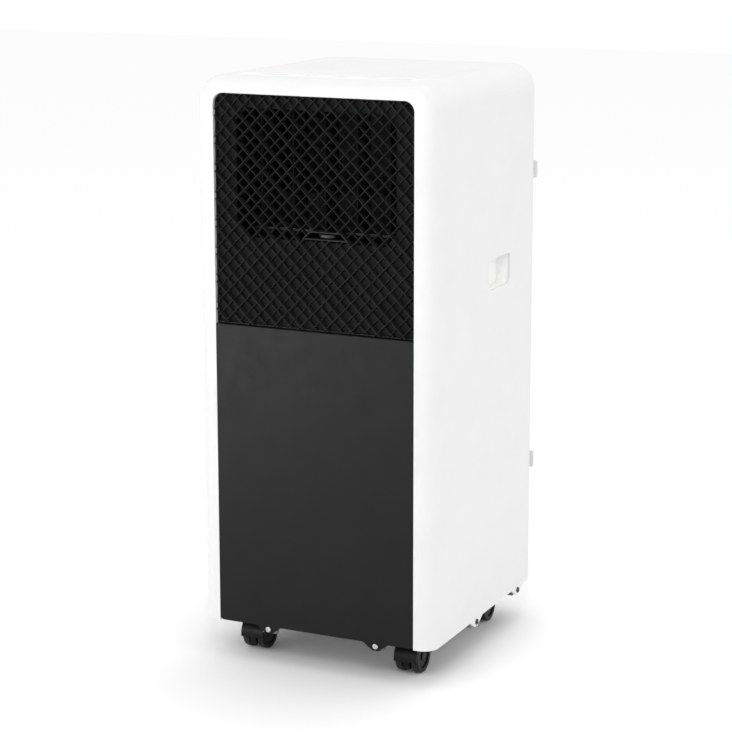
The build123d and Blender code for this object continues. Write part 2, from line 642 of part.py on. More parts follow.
exhaust_boxes = ((EXHAUST_MAIN_X, (EXHAUST_BOX_FRONT, EXHAUST_BOX_BACK)),
                 (EXHAUST_SIDE_X, (EXHAUST_BOX_FRONT, EXHAUST_SIDE_BACK)))

with BuildPart() as exhaust_duct:
    for sides, depths in exhaust_boxes:
        add(block(sides, depths, EXHAUST_HEIGHTS))
    for sides, depths in exhaust_boxes:
        inside = [(low + DUCT_WALL, high - DUCT_WALL) for low, high in (sides, depths, EXHAUST_HEIGHTS)]
        add(block(*inside), mode=Mode.SUBTRACT)
    add(rod(0, PORT_HEIGHT, (EXHAUST_BOX_BACK - OVERCUT, EXHAUST_BOX_BACK + OVERCUT),
            PORT_RADIUS + PORT_WALL + GAP), mode=Mode.SUBTRACT)
    add(block(SCROLL_MOUTH, MOUTH_DEPTHS, (EXHAUST_HEIGHTS[0] - OVERCUT, EXHAUST_HEIGHTS[0] + OVERCUT)),
        mode=Mode.SUBTRACT)
save(exhaust_duct.part, "exhaust_duct")

# ---------------------------------------------------------------- drain plugs, cord gland and cord hooks
PLUG_HEAD = 4.0
PLUG_TAB = (3.0, 14.0)
PLUG_LENGTH = 12.0
PLUG_ROUND = 1.2
GLAND_BODY = 8.0
GLAND_HEAD = 11.0
GLAND_BORE = 3.8
GLAND_INSIDE = 8.0
GLAND_OUTSIDE = 6.0
GLAND_ROUND = 2.0
HOOK_PLAY = 0.1
HOOK_PLATE = 3.0
HOOK_LIP = 3.5
HOOK_ROUND = 3.0
HOOK_POST = 4.0
HOOK_ROOT_X = 122.0

for name, height in (("upper", UPPER_DRAIN), ("lower", LOWER_DRAIN)):
    with BuildPart() as drain_plug:
        add(rod(DRAIN_X, height, (PANEL_BACK - PLUG_LENGTH, PANEL_FACE + PLUG_HEAD / 2),
                DRAIN_RADIUS - PIN_CLEARANCE))
        add(rod(DRAIN_X, height, (PANEL_FACE + GAP, PANEL_FACE + GAP + PLUG_HEAD), DRAIN_RADIUS + PLUG_HEAD))
        fillet(drain_plug.edges().group_by(Axis.Y)[-1], PLUG_ROUND)
        add(block((DRAIN_X - PLUG_TAB[0] / 2, DRAIN_X + PLUG_TAB[0] / 2),
                  (PANEL_FACE + PLUG_HEAD, PANEL_FACE + 2 * PLUG_HEAD),
                  (height - PLUG_TAB[1] / 2, height + PLUG_TAB[1] / 2)))
    save(drain_plug.part, f"{name}_drain_plug")

with BuildPart() as cord_gland:
    add(rod(GLAND_X, GLAND_HEIGHT, (PANEL_BACK - GLAND_INSIDE, PANEL_FACE + SKIN_PLAY), GLAND_BODY))
    add(rod(GLAND_X, GLAND_HEIGHT, (PANEL_FACE, PANEL_FACE + GLAND_OUTSIDE), GLAND_HEAD))
    fillet(cord_gland.edges().group_by(Axis.Y)[-1], GLAND_ROUND)
    add(rod(GLAND_X, GLAND_HEIGHT, (PANEL_BACK - GLAND_INSIDE, PANEL_FACE + 2 * GLAND_OUTSIDE), GLAND_BORE),
        mode=Mode.SUBTRACT)
save(cord_gland.part, "cord_gland")

for name, height, lip in (("upper", HOOK_HEIGHTS[1], 1), ("lower", HOOK_HEIGHTS[0], -1)):
    with BuildPart() as cord_hook:
        low, high = height - HOOK_LENGTH / 2, height + HOOK_LENGTH / 2
        root = sorted((height, height - lip * HOOK_LENGTH / 2))
        post_x = (HOOK_X[0], HOOK_X[0] + HOOK_POST)
        reach = BODY_DEPTH + HOOK_REACH
        add(block((HOOK_ROOT_X, post_x[1]), (BODY_DEPTH + HOOK_PLAY, BODY_DEPTH + HOOK_PLATE), (low, high)))
        add(block(post_x, (BODY_DEPTH + HOOK_PLAY, reach), root))
        add(block(HOOK_X, (reach - HOOK_LIP, reach), (low, high)))
        fillet(cord_hook.edges().filter_by(Axis.Y).group_by(Axis.X)[-1], HOOK_ROUND)
    save(cord_hook.part, f"cord_hook_{name}")

with BuildPart() as rear_screws:
    for x, z in rear_screw_places:
        with Locations(Plane((x, at_depth(BODY_DEPTH), z), x_dir=(1, 0, 0), z_dir=(0, 1, 0))):
            add(screw(REAR_SCREW_LENGTH))
save(rear_screws.part, "rear_screws")

# ---------------------------------------------------------------- deck between the cold and the warm half
DECK = (325.0, 328.0)
DECK_PLAY = 2.0
DECK_HALF = PAN_HALF - 1.0
DECK_RIM = 6.0
DECK_DEPTHS = (FRAME_DEPTH + DECK_PLAY, PANEL_BACK - DECK_PLAY)
SUCTION_X = -122.4
SUCTION_DEPTH = 185.0
TUBE_RADIUS = 3.2
SUCTION_HOLE = 5.2

with BuildPart() as mid_deck:
    add(block((-DECK_HALF, DECK_HALF), DECK_DEPTHS, (DECK[0], DECK[1] + DECK_RIM)))
    add(block((PAN_WALL - DECK_HALF, DECK_HALF - PAN_WALL),
              (DECK_DEPTHS[0] + PAN_WALL, DECK_DEPTHS[1] - PAN_WALL), (DECK[1], DECK[1] + DECK_RIM)),
        mode=Mode.SUBTRACT)
    add(post(SUCTION_X, SUCTION_DEPTH, (DECK[0] - OVERCUT, DECK[1] + OVERCUT), SUCTION_HOLE),
        mode=Mode.SUBTRACT)
save(mid_deck.part, "mid_deck")

# ---------------------------------------------------------------- blowers
SCROLL_WALL = 2.0
SHAFT_RADIUS = 4.0
HUB_LENGTH = 14.0
BLADES = 32
BLADE_CHORD = 10.5
BLADE_THICKNESS = 1.3
BLADE_ANGLE = 35.0
WHEEL_DISC = 2.0
WHEEL_RING = 5.0
RING_LENGTH = 3.0
WHEEL_PLAY = 6.0
SHAFT_INSIDE = 12.0
MOTOR_BORE = 14.0
MOTOR_ROUND = 5.0


def blower_wheel(x, height, depths, radius, motor_face):
    """A drum of forward-curved blades between a hub disc and a ring, on a shaft that runs into the motor."""
    with BuildPart() as wheel:
        add(rod(x, height, (depths[0], depths[0] + WHEEL_DISC), radius))
        with BuildSketch(facing(depths[0] + WHEEL_DISC / 2)):
            with Locations((x, at_height(height))):
                with PolarLocations(radius - BLADE_CHORD / 2, BLADES):
                    Rectangle(BLADE_CHORD, BLADE_THICKNESS, rotation=BLADE_ANGLE)
        extrude(amount=-(depths[1] - depths[0] - WHEEL_DISC / 2))
        with BuildSketch(facing(depths[1] - RING_LENGTH)):
            with Locations((x, at_height(height))):
                Circle(radius)
                Circle(radius - WHEEL_RING, mode=Mode.SUBTRACT)
        extrude(amount=-RING_LENGTH)
        add(rod(x, height, (motor_face - SHAFT_INSIDE, depths[0] + HUB_LENGTH), SHAFT_RADIUS))
        add(rod(x, height, (depths[0], depths[0] + HUB_LENGTH), 2 * SHAFT_RADIUS))
    return wheel.part


def fan_motor(x, height, depths, radius):
    """A canned motor with rounded ends, bored for the blower's shaft."""
    with BuildPart() as motor:
        add(rod(x, height, depths, radius))
        fillet(motor.edges(), MOTOR_ROUND)
        add(rod(x, height, (depths[1] - MOTOR_BORE, depths[1] + OVERCUT), SHAFT_RADIUS + PIN_CLEARANCE),
            mode=Mode.SUBTRACT)
    return motor.part


UPPER_FAN_HEIGHT = 415.0
UPPER_FAN_RADIUS = 60.0
UPPER_SCROLL_DEPTHS = (DUCT_END + GAP, 152.0)
UPPER_MOTOR_DEPTHS = (34.0, DUCT_END)
UPPER_MOTOR_RADIUS = 36.0
UPPER_SCROLL_RADIUS = 82.0
UPPER_NECK_LOW = 440.0
UPPER_EYE_RADIUS = 52.0
HUB_HOLE = 12.0
OUTLET_SLOT = ((-94.0, 94.0), (500.0, 600.0))

with BuildPart() as upper_scroll:
    front, back = UPPER_SCROLL_DEPTHS
    for shrink, mode in ((0, Mode.ADD), (SCROLL_WALL, Mode.SUBTRACT)):
        with BuildSketch(facing(front + shrink)):
            with Locations((0, at_height(UPPER_FAN_HEIGHT))):
                Circle(UPPER_SCROLL_RADIUS - shrink)
            with Locations((0, at_height((UPPER_NECK_LOW + OUTLET_HIGH) / 2))):
                Rectangle(2 * (OUTLET_HALF_WIDTH - shrink), OUTLET_HIGH - UPPER_NECK_LOW - 2 * shrink)
        extrude(amount=front - back + 2 * shrink, mode=mode)
    add(rod(0, UPPER_FAN_HEIGHT, (back - OVERCUT, back + OVERCUT), UPPER_EYE_RADIUS), mode=Mode.SUBTRACT)
    add(rod(0, UPPER_FAN_HEIGHT, (front - OVERCUT, front + OVERCUT), HUB_HOLE), mode=Mode.SUBTRACT)
    add(block(OUTLET_SLOT[0], (front - OVERCUT, front + OVERCUT), OUTLET_SLOT[1]), mode=Mode.SUBTRACT)
save(upper_scroll.part, "upper_scroll")

upper_wheel_depths = (UPPER_SCROLL_DEPTHS[0] + WHEEL_PLAY, UPPER_SCROLL_DEPTHS[1] - WHEEL_PLAY)
upper_wheel = blower_wheel(0, UPPER_FAN_HEIGHT, upper_wheel_depths, UPPER_FAN_RADIUS, UPPER_MOTOR_DEPTHS[1])
save(upper_wheel, "upper_blower_wheel")
save(fan_motor(0, UPPER_FAN_HEIGHT, UPPER_MOTOR_DEPTHS, UPPER_MOTOR_RADIUS), "upper_fan_motor")

LOWER_FAN_X = 55.0
LOWER_FAN_HEIGHT = 112.0
LOWER_FAN_RADIUS = 56.0
LOWER_SCROLL_DEPTHS = (152.0, 212.0)
LOWER_MOTOR_DEPTHS = (98.0, 151.7)
LOWER_MOTOR_RADIUS = 34.0
LOWER_SCROLL_RADIUS = 74.0
LOWER_EYE_RADIUS = 48.0
MOUTH_CUT = (100.0, 40.0)

with BuildPart() as lower_scroll:
    front, back = LOWER_SCROLL_DEPTHS
    mouth_middle = sum(SCROLL_MOUTH) / 2
    mouth_width = SCROLL_MOUTH[1] - SCROLL_MOUTH[0]
    mouth_top = EXHAUST_HEIGHTS[0] - GAP
    for shrink, mode in ((0, Mode.ADD), (SCROLL_WALL, Mode.SUBTRACT)):
        with BuildSketch(facing(front + shrink)):
            with Locations((LOWER_FAN_X, at_height(LOWER_FAN_HEIGHT))):
                Circle(LOWER_SCROLL_RADIUS - shrink)
            with Locations((mouth_middle, at_height((LOWER_FAN_HEIGHT + mouth_top) / 2 + shrink))):
                Rectangle(mouth_width - 2 * shrink, mouth_top - LOWER_FAN_HEIGHT + 2 * shrink)
            with Locations((mouth_middle, at_height(mouth_top + MOUTH_CUT[1] / 2))):
                Rectangle(*MOUTH_CUT, mode=Mode.SUBTRACT)
        extrude(amount=front - back + 2 * shrink, mode=mode)
    add(rod(LOWER_FAN_X, LOWER_FAN_HEIGHT, (back - OVERCUT, back + OVERCUT), LOWER_EYE_RADIUS),
        mode=Mode.SUBTRACT)
    add(rod(LOWER_FAN_X, LOWER_FAN_HEIGHT, (front - OVERCUT, front + OVERCUT), HUB_HOLE), mode=Mode.SUBTRACT)
save(lower_scroll.part, "lower_scroll")

lower_wheel_depths = (LOWER_SCROLL_DEPTHS[0] + WHEEL_PLAY, LOWER_SCROLL_DEPTHS[1] - WHEEL_PLAY)
lower_wheel = blower_wheel(LOWER_FAN_X, LOWER_FAN_HEIGHT, lower_wheel_depths, LOWER_FAN_RADIUS,
                           LOWER_MOTOR_DEPTHS[1])
save(lower_wheel, "lower_blower_wheel")
save(fan_motor(LOWER_FAN_X, LOWER_FAN_HEIGHT, LOWER_MOTOR_DEPTHS, LOWER_MOTOR_RADIUS), "lower_fan_motor")

# ---------------------------------------------------------------- coils
COIL_HALF = 108.0
BEND_RADIUS = 6.5
COIL_TUBE = 2.6
FIN_PITCH = 9.0
FIN_THICKNESS = 1.2
END_PLATE = 1.2
END_PLATE_MARGIN = 2.0


def bend_heights(heights):
    """The middles of the return bends at one end of a coil that stands between two heights."""
    count = int((heights[1] - heights[0]) // (4 * BEND_RADIUS))
    step = (heights[1] - heights[0]) / count
    return [at_height(heights[0] + (index + 0.5) * step) for index in range(count)]


def fin_pack(depths, heights):
    """The fins of one coil, threaded on its level tubes, with a plate at each end."""
    middle = (0, at_depth(sum(depths) / 2), at_height(sum(heights) / 2))
    fins = int(2 * COIL_HALF / FIN_PITCH)
    with BuildPart() as pack:
        with Locations(middle):
            with GridLocations(FIN_PITCH, 1, fins, 1):
                Box(FIN_THICKNESS, depths[1] - depths[0], heights[1] - heights[0])
        for side in (-1, 1):
            ends = sorted((side * COIL_HALF, side * (COIL_HALF + END_PLATE)))
            add(block(ends, (depths[0] - END_PLATE_MARGIN, depths[1] + END_PLATE_MARGIN),
                      (heights[0], heights[1] + END_PLATE_MARGIN)))
        with BuildSketch(Plane.YZ.offset(-COIL_HALF)):
            for height in bend_heights(heights):
                with Locations((middle[1], height - BEND_RADIUS), (middle[1], height + BEND_RADIUS)):
                    Circle(COIL_TUBE)
        extrude(amount=2 * COIL_HALF)
    return pack.part


def return_bends(depths, heights):
    """The copper return bends that stand out of both ends of one coil."""
    middle = at_depth(sum(depths) / 2)
    with BuildPart() as bends:
        for side in (-1, 1):
            foot = side * (COIL_HALF + END_PLATE + SKIN_PLAY)
            for height in bend_heights(heights):
                with BuildSketch(Plane.YZ.offset(foot)):
                    with Locations((middle, height + BEND_RADIUS)):
                        Circle(COIL_TUBE)
                revolve(axis=Axis((foot, middle, height), (0, 1, 0)), revolution_arc=side * 180)
    return bends.part


EVAPORATOR = ((165.0, 205.0), (329.0, 596.0))
CONDENSER = ((224.0, 266.0), (32.0, 184.0))
for name, (depths, heights) in (("evaporator", EVAPORATOR), ("condenser", CONDENSER)):
    save(fin_pack(depths, heights), f"{name}_coil")
    save(return_bends(depths, heights), f"{name}_return_bends")

# ---------------------------------------------------------------- compressor
COMPRESSOR_X = -68.0
COMPRESSOR_DEPTH = 100.0
COMPRESSOR_RADIUS = 50.0
COMPRESSOR_HEIGHTS = (19.0, 208.0)
ACCUMULATOR_X = -4.0
ACCUMULATOR_DEPTH = 68.0
ACCUMULATOR_HEIGHTS = (40.0, 160.0)
FOOT_CIRCLE = 55.0
FOOT_RADIUS = 11.0
MOUNT_RADIUS = 9.0
SHELL_ROUND = 18.0
ACCUMULATOR_RADIUS = 15.0
FOOT_DROP = 1.0
FOOT_THICKNESS = 3.0
MOUNT_PLAY = 0.05
STRAP_X = COMPRESSOR_X + 35.0
STRAP_DEPTHS = (ACCUMULATOR_DEPTH - 1.0, ACCUMULATOR_DEPTH + 8.0)
STRAP_HALF = 6.0
foot_places = [(COMPRESSOR_X + FOOT_CIRCLE * math.cos(math.radians(angle)),
                COMPRESSOR_DEPTH + FOOT_CIRCLE * math.sin(math.radians(angle))) for angle in (90, 210, 330)]

with BuildPart() as compressor:
    add(post(COMPRESSOR_X, COMPRESSOR_DEPTH, COMPRESSOR_HEIGHTS, COMPRESSOR_RADIUS))
    fillet(compressor.edges(), SHELL_ROUND)
    with BuildSketch(Plane.XY.offset(at_height(COMPRESSOR_HEIGHTS[0] - FOOT_DROP))):
        for x, depth in foot_places:
            with Locations((x, at_depth(depth))):
                Circle(FOOT_RADIUS)
        with Locations((COMPRESSOR_X, at_depth(COMPRESSOR_DEPTH))):
            RegularPolygon(FOOT_CIRCLE, 3, rotation=90)
    extrude(amount=FOOT_THICKNESS)
    add(post(ACCUMULATOR_X, ACCUMULATOR_DEPTH, ACCUMULATOR_HEIGHTS, ACCUMULATOR_RADIUS))
    rings = compressor.edges().filter_by(GeomType.CIRCLE)
    ends = rings.filter_by(lambda edge: abs(edge.radius - ACCUMULATOR_RADIUS) < GAP)
    fillet(ends, ACCUMULATOR_RADIUS / 2)
    strap_height = (ACCUMULATOR_HEIGHTS[0] + ACCUMULATOR_HEIGHTS[1]) / 2
    add(block((STRAP_X, ACCUMULATOR_X), STRAP_DEPTHS, (strap_height - STRAP_HALF, strap_height + STRAP_HALF)))
save(compressor.part, "compressor")

with BuildPart() as compressor_mounts:
    for x, depth in foot_places:
        add(post(x, depth, (PAN_FLOOR[1] + MOUNT_PLAY, COMPRESSOR_HEIGHTS[0] - FOOT_DROP - MOUNT_PLAY),
                 MOUNT_RADIUS))
save(compressor_mounts.part, "compressor_mounts")


# ---------------------------------------------------------------- refrigerant lines
def tube(points, bend):
    """A copper line through points given as X, depth and height, with rounded corners."""
    route = [(x, at_depth(depth), at_height(height)) for x, depth, height in points]
    with BuildPart() as line:
        with BuildLine() as path:
            FilletPolyline(*route, radius=bend)
        with BuildSketch(Plane(route[0], z_dir=path.line @ 0.01 - path.line @ 0)):
            Circle(TUBE_RADIUS)
        sweep(path=path.line)
    return line.part


DISCHARGE_X = -104.0
DISCHARGE_DEPTH = 245.0
DISCHARGE_TOP = 226.0
DISCHARGE_END = CONDENSER[1][1] + END_PLATE_MARGIN + 0.4
SUCTION_START = EVAPORATOR[1][0] + 12.0
SUCTION_TOP = 250.0
DISCHARGE_BEND = 9.0
SUCTION_BEND = 12.0

with BuildPart() as refrigerant_lines:
    add(tube([(COMPRESSOR_X, COMPRESSOR_DEPTH, COMPRESSOR_HEIGHTS[1] + GAP),
              (COMPRESSOR_X, COMPRESSOR_DEPTH, DISCHARGE_TOP),
              (DISCHARGE_X, COMPRESSOR_DEPTH, DISCHARGE_TOP),
              (DISCHARGE_X, DISCHARGE_DEPTH, DISCHARGE_TOP),
              (DISCHARGE_X, DISCHARGE_DEPTH, DISCHARGE_END)], DISCHARGE_BEND))
    add(tube([(SUCTION_X, SUCTION_DEPTH, SUCTION_START),
              (SUCTION_X, SUCTION_DEPTH, SUCTION_TOP),
              (SUCTION_X, ACCUMULATOR_DEPTH, SUCTION_TOP),
              (ACCUMULATOR_X, ACCUMULATOR_DEPTH, SUCTION_TOP),
              (ACCUMULATOR_X, ACCUMULATOR_DEPTH, ACCUMULATOR_HEIGHTS[1] + GAP)], SUCTION_BEND))
save(refrigerant_lines.part, "refrigerant_lines")

# ---------------------------------------------------------------- electrical parts
BOX_X = (-141.0, -105.0)
BOX_DEPTHS = (92.0, 150.0)
BOX_HEIGHTS = (336.0, 470.0)
BOX_WALL = 2.0
BOARD_THICKNESS = 1.6
BOARD_X = BOX_X[1] - 8.0
# each part on the board: its depth, height, how far it stands out and its side
board_parts = ((108, 360, 16, 12), (132, 385, 12, 16), (112, 420, 18, 10), (134, 445, 9, 14))
CAPACITOR_X = 122.0
CAPACITOR_DEPTH = 120.0
CAPACITOR_RADIUS = 17.0
CAPACITOR_LENGTH = 70.0
CAPACITOR_ROUND = 2.0
TOUCH_BOARD_HALF = 105.0
TOUCH_BOARD_DEPTHS = (30.0, 70.0)
TOUCH_BOARD_HEIGHT = 622.0
KEY_COUNT = 5
KEY_PITCH = 32.0
KEY_HALF = 5.0
KEY_DEPTHS = (38.0, 48.0)
KEY_HEIGHT = 3.4

with BuildPart() as electrical_box:
    add(block(BOX_X, BOX_DEPTHS, BOX_HEIGHTS))
    add(block((BOX_X[0], BOX_X[1] - BOX_WALL), (BOX_DEPTHS[0] + BOX_WALL, BOX_DEPTHS[1] - BOX_WALL),
              (BOX_HEIGHTS[0] + BOX_WALL, BOX_HEIGHTS[1] - BOX_WALL)), mode=Mode.SUBTRACT)
save(electrical_box.part, "electrical_box")

with BuildPart() as main_board:
    add(block((BOARD_X, BOARD_X + BOARD_THICKNESS),
              (BOX_DEPTHS[0] + 2 * BOX_WALL, BOX_DEPTHS[1] - 2 * BOX_WALL),
              (BOX_HEIGHTS[0] + 2 * BOX_WALL, BOX_HEIGHTS[1] - 2 * BOX_WALL)))
    for depth, height, reach, size in board_parts:
        add(block((BOARD_X - reach, BOARD_X + BOARD_THICKNESS / 2), (depth - size / 2, depth + size / 2),
                  (height - size / 2, height + size / 2)))
save(main_board.part, "main_board")

with BuildPart() as run_capacitor:
    add(post(CAPACITOR_X, CAPACITOR_DEPTH, (DECK[1] + SKIN_PLAY, DECK[1] + CAPACITOR_LENGTH),
             CAPACITOR_RADIUS))
    fillet(run_capacitor.edges().group_by(Axis.Z)[-1], CAPACITOR_ROUND)
save(run_capacitor.part, "run_capacitor")

with BuildPart() as control_board:
    board_top = TOUCH_BOARD_HEIGHT + BOARD_THICKNESS
    add(block((-TOUCH_BOARD_HALF, TOUCH_BOARD_HALF), TOUCH_BOARD_DEPTHS, (TOUCH_BOARD_HEIGHT, board_top)))
    for index in range(KEY_COUNT):
        x = (index - (KEY_COUNT - 1) / 2) * KEY_PITCH
        add(block((x - KEY_HALF, x + KEY_HALF), KEY_DEPTHS, (board_top, board_top + KEY_HEIGHT)))
save(control_board.part, "control_board")

# ---------------------------------------------------------------- casters
HOOD_RADIUS = 22.5
WHEEL_SPACE = 20.2
WEB_HALF = 4.0
CASTER_HALF = (WHEEL_SPREAD + WHEEL_WIDTH) / 2
CASTER_TOP = GROUND_GAP + PAN_FLOOR[0] - 0.4
HOOD_SKIRT = 2.0
WEB_FOOT = 12.0
STEM_OVERLAP = 1.0
STEM_TOP = SOCKET_TOP - 4.0
SWIVEL_COLLAR = 8.0
WHEEL_ROUND = 1.8
DISH_RADII = (5.0, 14.0)
DISH_DEPTH = 1.5


def caster_fork(x, depth):
    """The swivelling part: a hood over two wheels, a web between them and a stem into the pan."""
    axle_y = at_depth(depth + CASTER_TRAIL)
    with BuildPart() as fork:
        with BuildSketch(Plane.YZ.offset(x - CASTER_HALF)):
            with Locations((axle_y, WHEEL_RADIUS)):
                Circle(HOOD_RADIUS)
            with Locations((axle_y, WHEEL_RADIUS - HOOD_RADIUS)):
                Rectangle(3 * HOOD_RADIUS, 2 * (HOOD_RADIUS - HOOD_SKIRT), mode=Mode.SUBTRACT)
        extrude(amount=2 * CASTER_HALF)
        with BuildSketch(Plane.XY.offset(WHEEL_RADIUS + SWIVEL_COLLAR)):
            with Locations((x, at_depth(depth))):
                Circle(SWIVEL_COLLAR)
        extrude(amount=CASTER_TOP - WHEEL_RADIUS - SWIVEL_COLLAR)
        with BuildSketch(Plane.YZ.offset(x - CASTER_HALF)):
            with Locations((axle_y, WHEEL_RADIUS)):
                Circle(WHEEL_SPACE)
        extrude(amount=2 * CASTER_HALF, mode=Mode.SUBTRACT)
        with BuildSketch(Plane.YZ.offset(x - WEB_HALF)):
            with Locations((axle_y, WHEEL_RADIUS)):
                Circle(WHEEL_SPACE + GAP)
                Circle(AXLE_RADIUS + PIN_CLEARANCE, mode=Mode.SUBTRACT)
            with Locations((axle_y, WHEEL_RADIUS - WEB_FOOT - HOOD_RADIUS)):
                Rectangle(3 * HOOD_RADIUS, 2 * HOOD_RADIUS, mode=Mode.SUBTRACT)
        extrude(amount=2 * WEB_HALF)
        add(post(x, depth, (CASTER_TOP - GROUND_GAP - STEM_OVERLAP, STEM_TOP), STEM_RADIUS))
    return fork.part


def roller(x, axle_y, side):
    """One of a caster's two wheels, with a dished outer face."""
    inner = x + side * (WHEEL_SPREAD - WHEEL_WIDTH) / 2
    with BuildPart() as wheel:
        with BuildSketch(Plane.YZ.offset(inner)):
            with Locations((axle_y, WHEEL_RADIUS)):
                Circle(WHEEL_RADIUS)
        extrude(amount=side * WHEEL_WIDTH)
        fillet(wheel.edges(), WHEEL_ROUND)
        with BuildSketch(Plane.YZ.offset(inner + side * WHEEL_WIDTH)):
            with Locations((axle_y, WHEEL_RADIUS)):
                Circle(DISH_RADII[1])
                Circle(DISH_RADII[0], mode=Mode.SUBTRACT)
        extrude(amount=-side * DISH_DEPTH, mode=Mode.SUBTRACT)
    return wheel.part


def caster_wheels(x, depth):
    """Two rolling wheels joined by their axle."""
    axle_y = at_depth(depth + CASTER_TRAIL)
    with BuildPart() as wheels:
        for side in (-1, 1):
            add(roller(x, axle_y, side))
        with BuildSketch(Plane.YZ.offset(x - WHEEL_SPREAD / 2)):
            with Locations((axle_y, WHEEL_RADIUS)):
                Circle(AXLE_RADIUS)
        extrude(amount=WHEEL_SPREAD)
    return wheels.part


for row, depth in zip(("front", "rear"), CASTER_DEPTHS):
    for hand, x in (("left", -CASTER_X), ("right", CASTER_X)):
        save(caster_fork(x, depth), f"caster_fork_{row}_{hand}")
        save(caster_wheels(x, depth), f"caster_wheels_{row}_{hand}")
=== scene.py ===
import json
import math

import bpy
import numpy as np
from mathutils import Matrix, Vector

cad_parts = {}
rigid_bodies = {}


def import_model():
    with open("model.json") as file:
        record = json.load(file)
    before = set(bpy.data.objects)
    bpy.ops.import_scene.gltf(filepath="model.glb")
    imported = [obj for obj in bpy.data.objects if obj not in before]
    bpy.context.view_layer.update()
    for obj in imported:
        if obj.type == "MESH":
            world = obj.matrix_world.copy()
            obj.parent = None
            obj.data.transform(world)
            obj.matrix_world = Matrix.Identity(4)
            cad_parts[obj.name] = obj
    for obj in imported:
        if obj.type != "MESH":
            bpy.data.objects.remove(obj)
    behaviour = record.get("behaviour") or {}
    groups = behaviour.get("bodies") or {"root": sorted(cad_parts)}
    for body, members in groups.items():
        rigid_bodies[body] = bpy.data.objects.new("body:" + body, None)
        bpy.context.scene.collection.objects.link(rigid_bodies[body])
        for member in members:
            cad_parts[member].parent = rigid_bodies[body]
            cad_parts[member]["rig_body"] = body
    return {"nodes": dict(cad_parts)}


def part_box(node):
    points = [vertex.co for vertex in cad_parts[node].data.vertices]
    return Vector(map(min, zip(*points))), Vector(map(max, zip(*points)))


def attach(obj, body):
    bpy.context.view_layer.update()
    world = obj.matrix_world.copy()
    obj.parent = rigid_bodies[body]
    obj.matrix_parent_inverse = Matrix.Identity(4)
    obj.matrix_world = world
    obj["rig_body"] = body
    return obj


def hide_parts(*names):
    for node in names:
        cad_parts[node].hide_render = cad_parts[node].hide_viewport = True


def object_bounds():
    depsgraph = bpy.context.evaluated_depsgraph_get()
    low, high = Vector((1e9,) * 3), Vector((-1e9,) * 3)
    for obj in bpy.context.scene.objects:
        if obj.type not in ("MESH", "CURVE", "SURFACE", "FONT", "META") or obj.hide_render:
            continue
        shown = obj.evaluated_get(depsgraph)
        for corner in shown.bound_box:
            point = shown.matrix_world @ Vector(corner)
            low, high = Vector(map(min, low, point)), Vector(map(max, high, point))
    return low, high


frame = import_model()
cad_low, cad_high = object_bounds()
nodes = frame["nodes"]

# ------------------------------------------------------------------ white shell
# The casing and the front frame are injection-moulded ABS in a cool white. The mould's fine spark
# texture gives them a satin face; they clip together and are screwed from behind.
SHELL_WHITE = (0.745, 0.747, 0.745)
SHELL_SHADE = (0.725, 0.727, 0.726)
CLOUD_SIZE = 0.05
SHEEN_SIZE = 0.018


def finish(name, colour, roughness, metallic=0.0, gloss=0.5):
    """A material's name, tree, shader and object coordinates, with its plain values set on the shader."""
    material = bpy.data.materials.new(name)
    material.use_nodes = True
    tree = material.node_tree
    shader = tree.nodes["Principled BSDF"]
    shader.inputs["Base Color"].default_value = (*colour, 1.0)
    shader.inputs["Roughness"].default_value = roughness
    shader.inputs["Metallic"].default_value = metallic
    shader.inputs["Specular IOR Level"].default_value = gloss
    return material, tree, shader, tree.nodes.new("ShaderNodeTexCoord").outputs["Object"]


def grain(tree, place, size, detail=2.0, stretch=(1, 1, 1)):
    """Cloudy noise whose patches are about this size in metres, drawn out along an axis by stretch."""
    mapping = tree.nodes.new("ShaderNodeMapping")
    mapping.inputs["Scale"].default_value = [1 / size / drawn for drawn in stretch]
    tree.links.new(place, mapping.inputs["Vector"])
    noise = tree.nodes.new("ShaderNodeTexNoise")
    noise.inputs["Scale"].default_value = 1.0
    noise.inputs["Detail"].default_value = detail
    tree.links.new(mapping.outputs["Vector"], noise.inputs["Vector"])
    return noise.outputs["Fac"]


def between(tree, factor, low, high, start=0.3, end=0.7):
    """A value that runs from low to high while the factor runs from start to end."""
    spread = tree.nodes.new("ShaderNodeMapRange")
    for socket, value in zip(("From Min", "From Max", "To Min", "To Max"), (start, end, low, high)):
        spread.inputs[socket].default_value = value
    tree.links.new(factor, spread.inputs["Value"])
    return spread.outputs["Result"]


def tint(tree, shader, factor, first, second, start=0.3, end=0.7):
    """Base colour that goes from the first colour to the second with the factor."""
    ramp = tree.nodes.new("ShaderNodeValToRGB")
    ramp.color_ramp.elements[0].position = start
    ramp.color_ramp.elements[1].position = end
    ramp.color_ramp.elements[0].color = (*first, 1.0)
    ramp.color_ramp.elements[1].color = (*second, 1.0)
    tree.links.new(factor, ramp.inputs["Fac"])
    tree.links.new(ramp.outputs["Color"], shader.inputs["Base Color"])


def relief(tree, shader, height, depth, strength=1.0):
    """Fine relief of this depth in metres, laid on top of any relief the shader already has."""
    bump = tree.nodes.new("ShaderNodeBump")
    bump.inputs["Strength"].default_value = strength
    bump.inputs["Distance"].default_value = depth
    tree.links.new(height, bump.inputs["Height"])
    before = shader.inputs["Normal"].links
    if before:
        tree.links.new(before[0].from_socket, bump.inputs["Normal"])
    tree.links.new(bump.outputs["Normal"], shader.inputs["Normal"])


